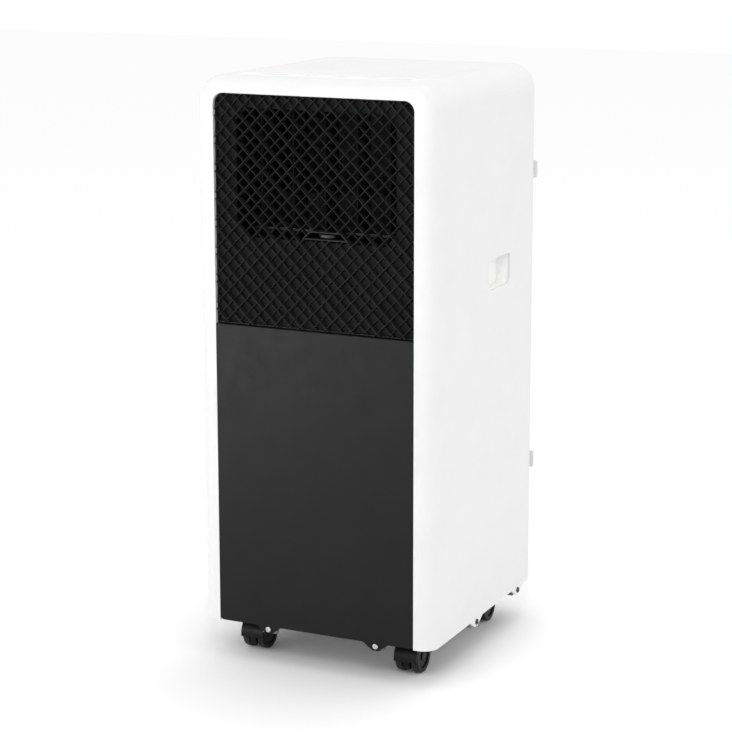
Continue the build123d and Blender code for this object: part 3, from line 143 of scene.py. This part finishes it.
def moulded(name, dark, light, roughness, gloss=0.5, texture=0.0007, depth=0.00002):
    """Moulded plastic: a faint cloudiness in colour, a patchy sheen and the mould's spark texture."""
    material, tree, shader, place = finish(name, light, roughness, gloss=gloss)
    tint(tree, shader, grain(tree, place, CLOUD_SIZE, 3.0), dark, light)
    sheen = between(tree, grain(tree, place, SHEEN_SIZE, 4.0), roughness - 0.04, roughness + 0.05)
    tree.links.new(sheen, shader.inputs["Roughness"])
    relief(tree, shader, grain(tree, place, texture, 1.0), depth, 0.6)
    return material


def dress(material, *names):
    """Puts a material on CAD nodes whose shape is already right."""
    for name in names:
        nodes[name].material_slots[0].material = material


shell_plastic = moulded("shell_plastic", SHELL_SHADE, SHELL_WHITE, 0.42)
dress(shell_plastic, "front_frame", "casing")

# ------------------------------------------------------------------ side handles
# Each grip is a white cup clipped behind an opening in the side wall. It is unpainted ABS with the same
# satin face as the casing; its colour is set well above the casing's white, painted light that lifts the
# shade in the recess.
cup_white_painted_light = moulded("cup_white_painted_light", (0.93, 0.93, 0.925), (0.95, 0.95, 0.945), 0.45)
dress(cup_white_painted_light, "handle_cup_left", "handle_cup_right")

# ------------------------------------------------------------------ touch panel on the top
# A printed polyester film lies in a shallow recess of the top, over the key board. Its keys are pale
# grey rings and signs under the gloss, and a milky window shows the temperature when it is lit.
FILM_TOP = cad_high.z - 0.00006
INK_TOP = cad_high.z - 0.00001
INK_FOOT = FILM_TOP - 0.0001
FILM_THICKNESS = 0.0005
FILM_CORNER = 0.0012
KEY_RADIUS = 0.0075
KEY_LINE = 0.0007
SLEEP_X, SPEED_X, MINUS_X, PLUS_X = -0.023, 0.015, 0.056, 0.082
POWER_X = 0.104 - KEY_RADIUS
SIGN = 0.006
POWER_ARC = (2.2, 7.2)
PLUS_ARM = 0.3 * SIGN
PLUS_ARM_MIDDLE = 0.35 * SIGN
BAR_PITCH = 0.0018
BAR_RISE = 0.0006
BAR_UNIT = 0.0013
MOON_SHIFT = 0.001
MOON_LINE = 1.6 * KEY_LINE
MOON_ARC = (1.9, 4.4)
WINDOW_SIZE = (0.036, 0.014)
WINDOW_CORNER = 0.003
WINDOW_X = -0.068
film_low, film_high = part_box("control_overlay")
key_y = (film_low.y + film_high.y) / 2


def new_piece(name, points, faces, material, slot, body="cabinet"):
    """A mesh object from an array of points and a list of faces, riding on a body."""
    mesh = bpy.data.meshes.new(name)
    mesh.from_pydata(np.asarray(points, float).reshape(-1, 3).tolist(), [], faces)
    mesh.update()
    mesh.shade_flat()
    piece = bpy.data.objects.new(name, mesh)
    bpy.context.scene.collection.objects.link(piece)
    mesh.materials.append(material)
    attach(piece, body)
    return piece


def slab(outline, low, high):
    """Points and faces of a flat plate: the outline, anticlockwise from above, at two heights."""
    count = len(outline)
    points = np.concatenate([np.c_[outline, np.full(count, z)] for z in (low, high)])
    here = np.arange(count)
    after = (here + 1) % count
    walls = np.c_[here, after, after + count, here + count].tolist()
    return points, walls + [here[::-1].tolist(), (here + count).tolist()]


def rounded(centre, size, radius, steps=8):
    """The outline of a rectangle with round corners: a quarter turn about each corner's middle."""
    turn = np.linspace(0, math.pi / 2, steps)
    corners = [(1, 1), (-1, 1), (-1, -1), (1, -1)]
    parts = []
    for quarter, (right, up) in enumerate(corners):
        middle = np.array(centre) + np.array((right, up)) * (np.array(size) / 2 - radius)
        angle = turn + quarter * math.pi / 2
        parts.append(middle + radius * np.c_[np.cos(angle), np.sin(angle)])
    return np.concatenate(parts)


def hoop(centre, radius, line, low, high, start=0.0, end=2 * math.pi, steps=48):
    """A flat ring or arc: a rectangle, line wide and high - low tall, swept round the centre."""
    whole = end - start > 2 * math.pi - 1e-6
    angle = np.linspace(start, end, steps, endpoint=not whole)
    inner, outer = radius - line / 2, radius + line / 2
    section = np.array([(inner, low), (outer, low), (outer, high), (inner, high)])
    spoke = np.c_[np.cos(angle), np.sin(angle)]
    flat = np.array(centre) + section[None, :, :1] * spoke[:, None, :]
    points = np.concatenate([flat, np.broadcast_to(section[None, :, 1:], (steps, 4, 1))], axis=2)
    ring = np.arange(steps if whole else steps - 1)
    after = (ring + 1) % steps
    faces = [np.c_[4 * ring + a, 4 * after + a, 4 * after + (a + 1) % 4, 4 * ring + (a + 1) % 4]
             for a in range(4)]
    faces = np.concatenate(faces)[:, ::-1].tolist()
    if not whole:
        faces += [[0, 1, 2, 3][::-1], [4 * (steps - 1) + a for a in range(4)]]
    return points.reshape(-1, 3), faces


def joined(*shapes):
    """Several points-and-faces shapes as one."""
    points, faces, count = [], [], 0
    for shape_points, shape_faces in shapes:
        points.append(shape_points)
        faces += [[index + count for index in face] for face in shape_faces]
        count += len(shape_points)
    return np.concatenate(points), faces


film, tree, shader, place = finish("printed_film", (0.81, 0.813, 0.813), 0.16, gloss=0.5)
relief(tree, shader, grain(tree, place, 0.009, 1.0), 0.00003, 0.5)
tree.links.new(between(tree, grain(tree, place, 0.02, 3.0), 0.12, 0.22), shader.inputs["Roughness"])
ink = moulded("pale_grey_ink", (0.42, 0.43, 0.44), (0.48, 0.49, 0.5), 0.3, texture=0.0004, depth=0.000005)
milky = moulded("milky_window", (0.60, 0.605, 0.61), (0.64, 0.645, 0.65), 0.12, depth=0.000004)

plate_middle = ((film_low.x + film_high.x) / 2, key_y)
plate_size = (film_high.x - film_low.x, film_high.y - film_low.y)
plate = slab(rounded(plate_middle, plate_size, FILM_CORNER), FILM_TOP - FILM_THICKNESS, FILM_TOP)
touch_film = new_piece("touch_film", *plate, film, "overlay_film")
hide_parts("control_overlay")


def stroke(centre, size):
    """A short printed bar with round ends."""
    return slab(rounded(centre, size, min(size) * 0.45, 4), INK_FOOT, INK_TOP)


def key(x, *signs):
    """A round key: its ring and the signs inside it."""
    return joined(hoop((x, key_y), KEY_RADIUS, KEY_LINE, INK_FOOT, INK_TOP), *signs)


power_key = key(POWER_X, hoop((POWER_X, key_y), SIGN / 2, KEY_LINE, INK_FOOT, INK_TOP, *POWER_ARC, 24),
                stroke((POWER_X, key_y + SIGN / 2), (KEY_LINE, SIGN / 2)))
plus_key = key(PLUS_X, stroke((PLUS_X, key_y), (SIGN, KEY_LINE)),
               stroke((PLUS_X, key_y + PLUS_ARM_MIDDLE), (KEY_LINE, PLUS_ARM)),
               stroke((PLUS_X, key_y - PLUS_ARM_MIDDLE), (KEY_LINE, PLUS_ARM)))
minus_key = key(MINUS_X, stroke((MINUS_X, key_y), (SIGN, KEY_LINE)))
speed_key = key(SPEED_X, *[stroke((SPEED_X + step * BAR_PITCH, key_y - (1 - step) * BAR_RISE),
                                  (KEY_LINE, (2 + step) * BAR_UNIT)) for step in (-1, 0, 1)])
sleep_key = key(SLEEP_X, hoop((SLEEP_X + MOON_SHIFT, key_y), SIGN / 2, MOON_LINE, INK_FOOT, INK_TOP,
                              *MOON_ARC, 20))
all_keys = joined(power_key, plus_key, minus_key, speed_key, sleep_key)
new_piece("touch_keys", *all_keys, ink, "overlay_film")
window = slab(rounded((WINDOW_X, key_y), WINDOW_SIZE, WINDOW_CORNER), INK_FOOT, INK_TOP)
new_piece("touch_window", *window, milky, "overlay_film")

# ------------------------------------------------------------------ lattice over the air outlet
# A single black moulding: deep ribs cross at 45 degrees, and thinner ribs at half the pitch stand back
# behind them. Every rib tapers to a round crest, and a slim border set back behind them ties their ends.
grille_low, grille_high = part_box("front_grille")
CASING_FOOT = 0.046
CELL = 0.03165
FIRST_NODE = CASING_FOOT + 0.2826
RIB_LINES = 30
RIB_END_INSET = 0.001
SHORTEST_RIB = 0.0008
BORDER = 0.0014
BORDER_FRONT = 0.0045
GRILLE_CORNER = 0.012
CHAMFER = 0.0003
front_y, back_y = grille_low.y, grille_high.y
MAIN_RIB = (0.0009, 0.0025, 0.0)
FINE_RIB = (0.0010, 0.0019, 0.003)
TAB_GAP = (CASING_FOOT + 0.463, CASING_FOOT + 0.4697)
TAB_CELLS_UP = 6.5
TAB_NODE = (CELL / 2, FIRST_NODE + TAB_CELLS_UP * CELL)
TAB_BAR = 0.0015
FAR = 9.0
TINY = 1e-9
SHARP_EDGE = math.radians(40)


def straight_bars(foot, tip, side, rise, profile):
    """Bars: one closed section, anticlockwise in its side and rise axes, carried from foot to tip."""
    across = profile[None, :, :1] * side[:, None, :] + profile[None, :, 1:] * rise[:, None, :]
    ends = np.stack([foot[:, None, :] + across, tip[:, None, :] + across], axis=1)
    bars, corners = len(foot), len(profile)
    first = (np.arange(bars) * 2 * corners)[:, None]
    here = np.arange(corners)[None, :]
    after = (here + 1) % corners
    walls = np.stack([first + here, first + after, first + corners + after, first + corners + here], axis=2)
    feet = (first + here)[:, ::-1]
    tips = first + corners + here
    return ends.reshape(-1, 3), walls.reshape(-1, 4).tolist() + feet.tolist() + tips.tolist()


def moved_in(outline, inset):
    """A convex outline moved in: every side shifts by the inset and meets its neighbours again."""
    before, after = np.roll(outline, 1, axis=0), np.roll(outline, -1, axis=0)
    into, out = outline - before, after - outline
    into /= np.linalg.norm(into, axis=1)[:, None]
    out /= np.linalg.norm(out, axis=1)[:, None]
    left = np.c_[-into[:, 1], into[:, 0]] + np.c_[-out[:, 1], out[:, 0]]
    scale = (left ** 2).sum(axis=1) / 2
    return outline + inset * left / scale[:, None]


def crossing(origin, way, outline):
    """Where straight lines enter and leave a convex anticlockwise outline, as distances along them."""
    sides = np.roll(outline, -1, axis=0) - outline
    inward = np.c_[-sides[:, 1], sides[:, 0]]
    inward /= np.linalg.norm(inward, axis=1)[:, None]
    slope = way @ inward.T
    room = ((origin[:, None, :] - outline[None]) * inward[None]).sum(axis=2)
    with np.errstate(divide="ignore", invalid="ignore"):
        reach = -room / slope
    enter = np.where(slope > TINY, reach, -FAR).max(axis=1)
    leave = np.where(slope < -TINY, reach, FAR).min(axis=1)
    missed = ((abs(slope) <= TINY) & (room < 0)).any(axis=1)
    return enter, np.where(missed, enter - 1, leave)


def ring_band(outline, section):
    """A closed frame: a section of inset and depth points carried round a convex outline."""
    loops = [np.c_[moved_in(outline, inset), np.full(len(outline), front_y + depth)]
             for inset, depth in section]
    points = np.stack(loops)[:, :, [0, 2, 1]]
    rings, count = len(section), len(outline)
    ring, along = np.meshgrid(np.arange(rings), np.arange(count), indexing="ij")
    here, ahead = ring * count, (ring + 1) % rings * count
    onward = (along + 1) % count
    faces = np.stack([here + along, here + onward, ahead + onward, ahead + along], axis=2)
    return points.reshape(-1, 3), faces.reshape(-1, 4).tolist()


def arch_outline(low, high, radius, steps=10):
    """The grille's outline, anticlockwise: a flat foot, two sides and two round upper corners."""
    turn = np.linspace(0, math.pi / 2, steps)
    right = np.c_[high[0] - radius + radius * np.cos(turn), high[1] - radius + radius * np.sin(turn)]
    left = np.c_[low[0] + radius - radius * np.sin(turn), high[1] - radius + radius * np.cos(turn)]
    return np.concatenate([[(low[0], low[1]), (high[0], low[1])], right, left])


def rib_profile(crest, root, front, back, steps=7):
    """Across and depth points of a rib: a half circle at the front, widening straight to its root."""
    turn = np.linspace(math.pi, 0, steps)
    half = crest / 2
    nose = np.c_[half * np.cos(turn), front + half - half * np.sin(turn)]
    return np.concatenate([[(-root / 2, back)], nose, [(root / 2, back)]])


def ribs(phase, rib, outline, hole):
    """Ribs both ways at 45 degrees, cut off at the outline and where they would cross the hole."""
    profile = rib_profile(*rib, back_y - front_y)
    lines = np.arange(-RIB_LINES, RIB_LINES + 1)
    shapes = []
    for lean in (1, -1):
        way = np.tile(np.array([(1.0, lean)]) / math.sqrt(2), (len(lines), 1))
        origin = np.c_[np.zeros(len(lines)), FIRST_NODE + (lines + phase) * CELL]
        start, stop = crossing(origin, way, outline)
        gap_start, gap_stop = crossing(origin, way, hole)
        cut = gap_stop > gap_start
        spans = [(start, np.where(cut, gap_start, stop)), (np.where(cut, gap_stop, stop), stop)]
        for begin, end in spans:
            kept = end - begin > SHORTEST_RIB
            count = kept.sum()
            foot, tip = (origin[kept] + reach[kept, None] * way[kept] for reach in (begin, end))
            foot, tip = (np.c_[ends[:, 0], np.full(count, front_y), ends[:, 1]] for ends in (foot, tip))
            side = np.tile((lean / math.sqrt(2), 0, -1 / math.sqrt(2)), (count, 1))
            depth = np.tile((0.0, 1.0, 0.0), (count, 1))
            shapes.append(straight_bars(foot, tip, side, depth, profile))
    return joined(*shapes)


grille_outline = arch_outline((grille_low.x, grille_low.z), (grille_high.x, grille_high.z), GRILLE_CORNER)
rib_ends = moved_in(grille_outline, RIB_END_INSET)
low_half = TAB_NODE[1] - TAB_GAP[0]
high_half = TAB_NODE[1] - TAB_GAP[1]
tab_hole = np.array([(TAB_NODE[0] - low_half, TAB_GAP[0]), (TAB_NODE[0] + low_half, TAB_GAP[0]),
                     (TAB_NODE[0] + high_half, TAB_GAP[1]), (TAB_NODE[0] - high_half, TAB_GAP[1])])
hole_edge = moved_in(tab_hole, -TAB_BAR / 2)
full_depth = back_y - front_y
border_section = [(0, BORDER_FRONT), (BORDER, BORDER_FRONT), (BORDER, full_depth), (0, full_depth)]
bar_section = [(-TAB_BAR, CHAMFER), (CHAMFER - TAB_BAR, 0), (-CHAMFER, 0), (0, CHAMFER), (0, full_depth),
               (-TAB_BAR, full_depth)]
lattice_shape = joined(
    ribs(0.0, MAIN_RIB, rib_ends, hole_edge),
    ribs(0.5, FINE_RIB, rib_ends, hole_edge),
    ring_band(grille_outline, border_section),
    ring_band(tab_hole, bar_section))
lattice_black = moulded("lattice_black", (0.013, 0.013, 0.0133), (0.017, 0.017, 0.0173), 0.36, gloss=0.14,
                        texture=0.0005, depth=0.000012)
lattice = new_piece("front_lattice", *lattice_shape, lattice_black, "black_grille")
lattice.data.shade_smooth()
lattice.data.set_sharp_from_angle(angle=SHARP_EDGE)
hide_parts("front_grille")

# ------------------------------------------------------------------ lower front panel and outlet plate
# Both are ABS moulded in charcoal with a fine matt texture. The panel clips into the white frame and
# hangs on two screwed tabs; the plate closes the space round the outlet behind the lattice.
charcoal = moulded("charcoal_abs", (0.004, 0.0041, 0.0043), (0.0055, 0.0056, 0.0058), 0.36, gloss=0.2,
                   texture=0.0006, depth=0.000018)
outlet_plate = moulded("outlet_plate", (0.017, 0.0171, 0.0175), (0.021, 0.0211, 0.0215), 0.55, gloss=0.08,
                       texture=0.0006, depth=0.000018)
dress(charcoal, "lower_front_panel")
dress(outlet_plate, "outlet_bezel")

# ------------------------------------------------------------------ louvre
# Five upright blades turn on pins in the outlet duct, in front of the blower's scroll. A flat bar links
# their cranks, and its finger tab comes forward through the lattice. All are dark polypropylene.
louvre_plastic = moulded("louvre_plastic", (0.009, 0.009, 0.0092), (0.012, 0.012, 0.0123), 0.5, gloss=0.2)
link_plastic = moulded("link_plastic", (0.012, 0.012, 0.0124), (0.016, 0.016, 0.0165), 0.36, gloss=0.5)
dress(louvre_plastic, "outlet_duct", "upper_scroll", *[f"louvre_vane_{index}" for index in range(1, 6)])
dress(link_plastic, "louvre_link")

# ------------------------------------------------------------------ back: panel, collar, hooks and grilles
# White ABS again, a shade duller than the casing. The intake grilles snap out for washing their nets,
# the hose collar is pushed in from behind, and the two hooks take the wound-up lead.
back_plastic = moulded("back_plastic", (0.70, 0.703, 0.70), (0.73, 0.732, 0.728), 0.5)
dress(back_plastic, "rear_panel", "exhaust_collar", "cord_hook_upper", "cord_hook_lower",
      "upper_intake_grille", "lower_intake_grille")

# ------------------------------------------------------------------ filter nets
# Each grille holds a washable polypropylene net, extruded as two layers of strands that are fused where
# they cross, and held by a flat welded edge.
NET_PITCH = 0.0021
STRAND = 0.00035
LAYER_SHIFT = 0.8 * STRAND
STRAND_SIDES = 6
EDGE_WIDTH = 0.004
EDGE_THICKNESS = 0.0012
EDGE_CORNER = 0.003
net_plastic = moulded("net_plastic", (0.03, 0.031, 0.033), (0.045, 0.046, 0.049), 0.45, texture=0.0009)


def net(name, node):
    """Strands along X lie on strands along Z, all with a six-sided section, inside a flat edge."""
    low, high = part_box(node)
    middle = (low.y + high.y) / 2
    turn = np.linspace(0, 2 * math.pi, STRAND_SIDES, endpoint=False)
    section = STRAND * np.c_[np.cos(turn), np.sin(turn)]
    rows = np.arange(low.z + EDGE_WIDTH, high.z - EDGE_WIDTH, NET_PITCH)
    columns = np.arange(low.x + EDGE_WIDTH, high.x - EDGE_WIDTH, NET_PITCH)
    level = np.full(len(rows), middle - LAYER_SHIFT)
    upright = np.full(len(columns), middle + LAYER_SHIFT)
    sides = (low.x + EDGE_WIDTH / 2, high.x - EDGE_WIDTH / 2)
    ends = (low.z + EDGE_WIDTH / 2, high.z - EDGE_WIDTH / 2)
    wefts = straight_bars(np.c_[np.full(len(rows), sides[0]), level, rows],
                          np.c_[np.full(len(rows), sides[1]), level, rows],
                          np.tile((0.0, 1.0, 0.0), (len(rows), 1)),
                          np.tile((0.0, 0.0, 1.0), (len(rows), 1)), section)
    warps = straight_bars(np.c_[columns, upright, np.full(len(columns), ends[0])],
                          np.c_[columns, upright, np.full(len(columns), ends[1])],
                          np.tile((1.0, 0.0, 0.0), (len(columns), 1)),
                          np.tile((0.0, 1.0, 0.0), (len(columns), 1)), section)
    outline = rounded(((low.x + high.x) / 2, (low.z + high.z) / 2), (high.x - low.x, high.z - low.z),
                      EDGE_CORNER)
    edge_points, edge_faces = ring_band(outline, [(0, 0), (EDGE_WIDTH, 0), (EDGE_WIDTH, EDGE_THICKNESS),
                                                  (0, EDGE_THICKNESS)])
    edge_points[:, 1] += middle - EDGE_THICKNESS / 2 - front_y
    piece = new_piece(name, *joined(wefts, warps, (edge_points, edge_faces)), net_plastic, "filter_net",
                      nodes[node]["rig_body"])
    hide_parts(node)


net("upper_net", "upper_filter_mesh")
net("lower_net", "lower_filter_mesh")

# ------------------------------------------------------------------ rubber parts
# The drain plugs, the lead's gland and the compressor's feet are black moulded rubber: dull, slightly
# dusty, with a faint bloom where they are handled.
rubber, tree, shader, place = finish("black_rubber", (0.018, 0.018, 0.018), 0.78, gloss=0.3)
tint(tree, shader, grain(tree, place, 0.006, 5.0), (0.014, 0.014, 0.014), (0.032, 0.032, 0.031), 0.35, 0.75)
relief(tree, shader, grain(tree, place, 0.0008, 3.0), 0.00006, 0.7)
dress(rubber, "upper_drain_plug", "lower_drain_plug", "cord_gland", "compressor_mounts")

# ------------------------------------------------------------------ screws
# Pan-head screws with a cross recess. The front pair is bright zinc; the side and rear ones are
# blackened. Driving them leaves fine turning marks and bare edges.


def metal(name, dark, light, roughness, stretch=(1, 1, 1), scratch=0.0012, depth=0.00001):
    """Bare or plated metal: uneven colour, and fine marks drawn out along one axis."""
    material, tree, shader, place = finish(name, light, roughness, metallic=1.0)
    tint(tree, shader, grain(tree, place, 0.004, 4.0), dark, light)
    marks = grain(tree, place, scratch, 3.0, stretch)
    tree.links.new(between(tree, marks, roughness - 0.1, roughness + 0.15), shader.inputs["Roughness"])
    relief(tree, shader, marks, depth, 0.5)
    return material


zinc = metal("bright_zinc", (0.50, 0.50, 0.48), (0.72, 0.72, 0.71), 0.3, scratch=0.0004)
black_screw = metal("blackened_steel", (0.03, 0.03, 0.03), (0.09, 0.09, 0.088), 0.38, scratch=0.0004)
dress(zinc, "front_screws")
dress(black_screw, "side_screws", "rear_screws")

# ------------------------------------------------------------------ casters
# Twin-wheel casters of black nylon: a hood and web in one moulding on a steel stem, and two glossy
# wheels whose treads are dulled and scuffed by the floor.
fork_nylon = moulded("caster_nylon", (0.004, 0.004, 0.004), (0.006, 0.006, 0.006), 0.36, gloss=0.16,
                     texture=0.0009)
wheel_nylon, tree, shader, place = finish("wheel_nylon", (0.006, 0.006, 0.006), 0.3, gloss=0.2)
facing = tree.nodes.new("ShaderNodeSeparateXYZ")
tree.links.new(tree.nodes["Texture Coordinate"].outputs["Normal"], facing.inputs["Vector"])
sideways = tree.nodes.new("ShaderNodeMath")
sideways.operation = "ABSOLUTE"
tree.links.new(facing.outputs["X"], sideways.inputs[0])
tread = tree.nodes.new("ShaderNodeMath")
tread.operation = "MULTIPLY"
tree.links.new(between(tree, sideways.outputs["Value"], 1.0, 0.0, 0.1, 0.6), tread.inputs[0])
tree.links.new(between(tree, grain(tree, place, 0.0016, 5.0), 0.2, 1.0, 0.4, 0.65), tread.inputs[1])
tint(tree, shader, tread.outputs["Value"], (0.005, 0.005, 0.005), (0.028, 0.027, 0.026), 0.0, 1.0)
tree.links.new(between(tree, tread.outputs["Value"], 0.28, 0.62, 0.0, 1.0), shader.inputs["Roughness"])
relief(tree, shader, grain(tree, place, 0.0007, 3.0), 0.00002, 0.5)
for corner in ("front_left", "front_right", "rear_left", "rear_right"):
    dress(fork_nylon, f"caster_fork_{corner}")
    dress(wheel_nylon, f"caster_wheels_{corner}")

# ------------------------------------------------------------------ base pan and inner mouldings
# The pan, the lower scroll, the hose duct and both blower wheels are grey polypropylene with soft mould
# flow marks. The pan carries everything and its lugs take the tab screws.
grey_plastic = moulded("grey_polypropylene", (0.20, 0.202, 0.206), (0.25, 0.252, 0.256), 0.48, texture=0.0011)
dress(grey_plastic, "base_pan", "pan_lugs", "lug_arms", "lower_scroll", "exhaust_duct", "upper_blower_wheel",
      "lower_blower_wheel")

# ------------------------------------------------------------------ foam deck
# The deck is expanded polystyrene, moulded to shape: its fused beads show as shallow rounded cells all
# over the surface.
foam, tree, shader, place = finish("bead_foam", (0.82, 0.82, 0.80), 0.7, gloss=0.3)
beads = tree.nodes.new("ShaderNodeTexVoronoi")
beads.inputs["Scale"].default_value = 290.0
tree.links.new(place, beads.inputs["Vector"])
# Colour runs from pale in each bead's middle to darker at the seams between beads: painted shade in the
# crevices.
tint(tree, shader, beads.outputs["Distance"], (0.86, 0.86, 0.845), (0.70, 0.70, 0.68), 0.3, 0.9)
relief(tree, shader, between(tree, beads.outputs["Distance"], 1.0, 0.0, 0.0, 0.8), 0.0004, 0.8)
dress(foam, "mid_deck")

# ------------------------------------------------------------------ coils and copper lines
# Each coil is a stack of thin aluminium fins on copper tubes. The fins are bright and slightly rippled
# by their dies; the bends and the lines are bare copper, browned here and there by brazing.
fins = metal("fin_aluminium", (0.60, 0.61, 0.63), (0.80, 0.81, 0.83), 0.32, stretch=(1, 1, 8), depth=0.00006)
dress(fins, "evaporator_coil", "condenser_coil")
copper, tree, shader, place = finish("bare_copper", (0.80, 0.42, 0.28), 0.3, metallic=1.0)
tint(tree, shader, grain(tree, place, 0.02, 5.0), (0.42, 0.19, 0.12), (0.86, 0.47, 0.31), 0.3, 0.6)
tree.links.new(between(tree, grain(tree, place, 0.006, 4.0), 0.2, 0.45), shader.inputs["Roughness"])
relief(tree, shader, grain(tree, place, 0.0012, 2.0), 0.00002, 0.5)
dress(copper, "evaporator_return_bends", "condenser_return_bends", "refrigerant_lines")

# ------------------------------------------------------------------ compressor and motors
# The compressor's welded can is sprayed black, so it has the slight orange peel of thick enamel. The
# motor cans are grey-coated pressed steel.


def enamel(name, dark, light, roughness):
    """Sprayed enamel on pressed steel: orange peel over faint cloudiness."""
    material, tree, shader, place = finish(name, light, roughness)
    tint(tree, shader, grain(tree, place, 0.03, 3.0), dark, light)
    tree.links.new(between(tree, grain(tree, place, 0.01, 3.0), roughness - 0.06, roughness + 0.08),
                   shader.inputs["Roughness"])
    relief(tree, shader, grain(tree, place, 0.0022, 1.0), 0.00008, 0.5)
    return material


black_enamel = enamel("black_enamel", (0.010, 0.010, 0.010), (0.016, 0.016, 0.016), 0.28)
grey_enamel = enamel("grey_enamel", (0.20, 0.205, 0.21), (0.26, 0.265, 0.27), 0.35)
dress(black_enamel, "compressor")
dress(grey_enamel, "upper_fan_motor", "lower_fan_motor")

# ------------------------------------------------------------------ electrical parts
# A folded galvanised box holds the main board. The capacitor is a drawn aluminium can. Both boards are
# green solder mask over copper tracks.
galvanised = metal("galvanised_sheet", (0.45, 0.46, 0.47), (0.66, 0.67, 0.68), 0.38, scratch=0.006,
                   depth=0.00003)
can = metal("drawn_can", (0.62, 0.62, 0.62), (0.78, 0.78, 0.78), 0.28, stretch=(1, 1, 14))
dress(galvanised, "electrical_box")
dress(can, "run_capacitor")
board, tree, shader, place = finish("solder_mask", (0.02, 0.13, 0.05), 0.3)
tracks = tree.nodes.new("ShaderNodeTexVoronoi")
tracks.distance = "MANHATTAN"
tracks.inputs["Scale"].default_value = 180.0
tree.links.new(place, tracks.inputs["Vector"])
tint(tree, shader, tracks.outputs["Distance"], (0.015, 0.10, 0.035), (0.035, 0.20, 0.08), 0.35, 0.55)
relief(tree, shader, between(tree, tracks.outputs["Distance"], 0.0, 1.0, 0.35, 0.5), 0.00006, 0.6)
dress(board, "main_board", "control_board")

# ------------------------------------------------------------------ floor, light and camera
# A pale seamless floor in an even white surround. A low lamp brightens the floor in front on the left,
# which the dark panel mirrors; the other four lift the front, the right side and the top.
FLOOR_HALF = 9.0
floor_corners = [(x * FLOOR_HALF, y * FLOOR_HALF, 0) for x, y in ((-1, -1), (1, -1), (1, 1), (-1, 1))]
floor_mesh = bpy.data.meshes.new("floor")
floor_mesh.from_pydata(floor_corners, [], [(0, 1, 2, 3)])
floor = bpy.data.objects.new("floor", floor_mesh)
bpy.context.scene.collection.objects.link(floor)
floor_mesh.materials.append(finish("floor_paint", (0.97, 0.97, 0.97), 0.8, gloss=0.0)[0])

world = bpy.data.worlds.new("studio")
world.use_nodes = True
bpy.context.scene.world = world
world.node_tree.nodes["Background"].inputs["Color"].default_value = (1.0, 1.0, 1.0, 1.0)
world.node_tree.nodes["Background"].inputs["Strength"].default_value = 1.0
bpy.context.scene.view_settings.view_transform = "Standard"


def soft_light(name, place, target, size, power):
    """A square soft box at a place, turned to face its target."""
    lamp = bpy.data.lights.new(name, "AREA")
    lamp.size = size
    lamp.energy = power
    holder = bpy.data.objects.new(name, lamp)
    holder.location = place
    holder.rotation_mode = "QUATERNION"
    holder.rotation_quaternion = (Vector(target) - Vector(place)).to_track_quat("-Z", "Y")
    bpy.context.scene.collection.objects.link(holder)


soft_light("key", (0.95, -2.0, 1.95), (0, 0, 0.5), 0.3, 7)
soft_light("left_front", (-1.4, -2.2, 1.7), (0, 0, 0.5), 1.0, 4)
soft_light("overhead", (0.4, 0.3, 2.6), (0, 0, 0.6), 1.0, 6)
soft_light("side_fill", (2.6, -0.6, 1.6), (0, 0, 0.4), 1.8, 5)
soft_light("floor_glow", (-1.2, -1.7, 0.3), (-1.2, -1.7, 0), 0.9, 30)

AZIMUTH = math.radians(24.963)
ELEVATION = math.radians(11.37)
DISTANCE = 2.5843
AIM = Vector((0.01863, -0.00708, 0.39067))
camera_data = bpy.data.cameras.new("camera")
camera_data.lens = 107.54
camera_data.sensor_width = 36.0
camera_data.shift_x = -0.0256
camera_data.shift_y = -0.0628
camera_data.clip_end = 60.0
camera = bpy.data.objects.new("camera", camera_data)
back = Vector((math.sin(AZIMUTH) * math.cos(ELEVATION), -math.cos(AZIMUTH) * math.cos(ELEVATION),
               math.sin(ELEVATION)))
camera.location = AIM + DISTANCE * back
camera.rotation_mode = "QUATERNION"
camera.rotation_quaternion = (-back).to_track_quat("-Z", "Y")
bpy.context.scene.collection.objects.link(camera)
bpy.context.scene.camera = camera
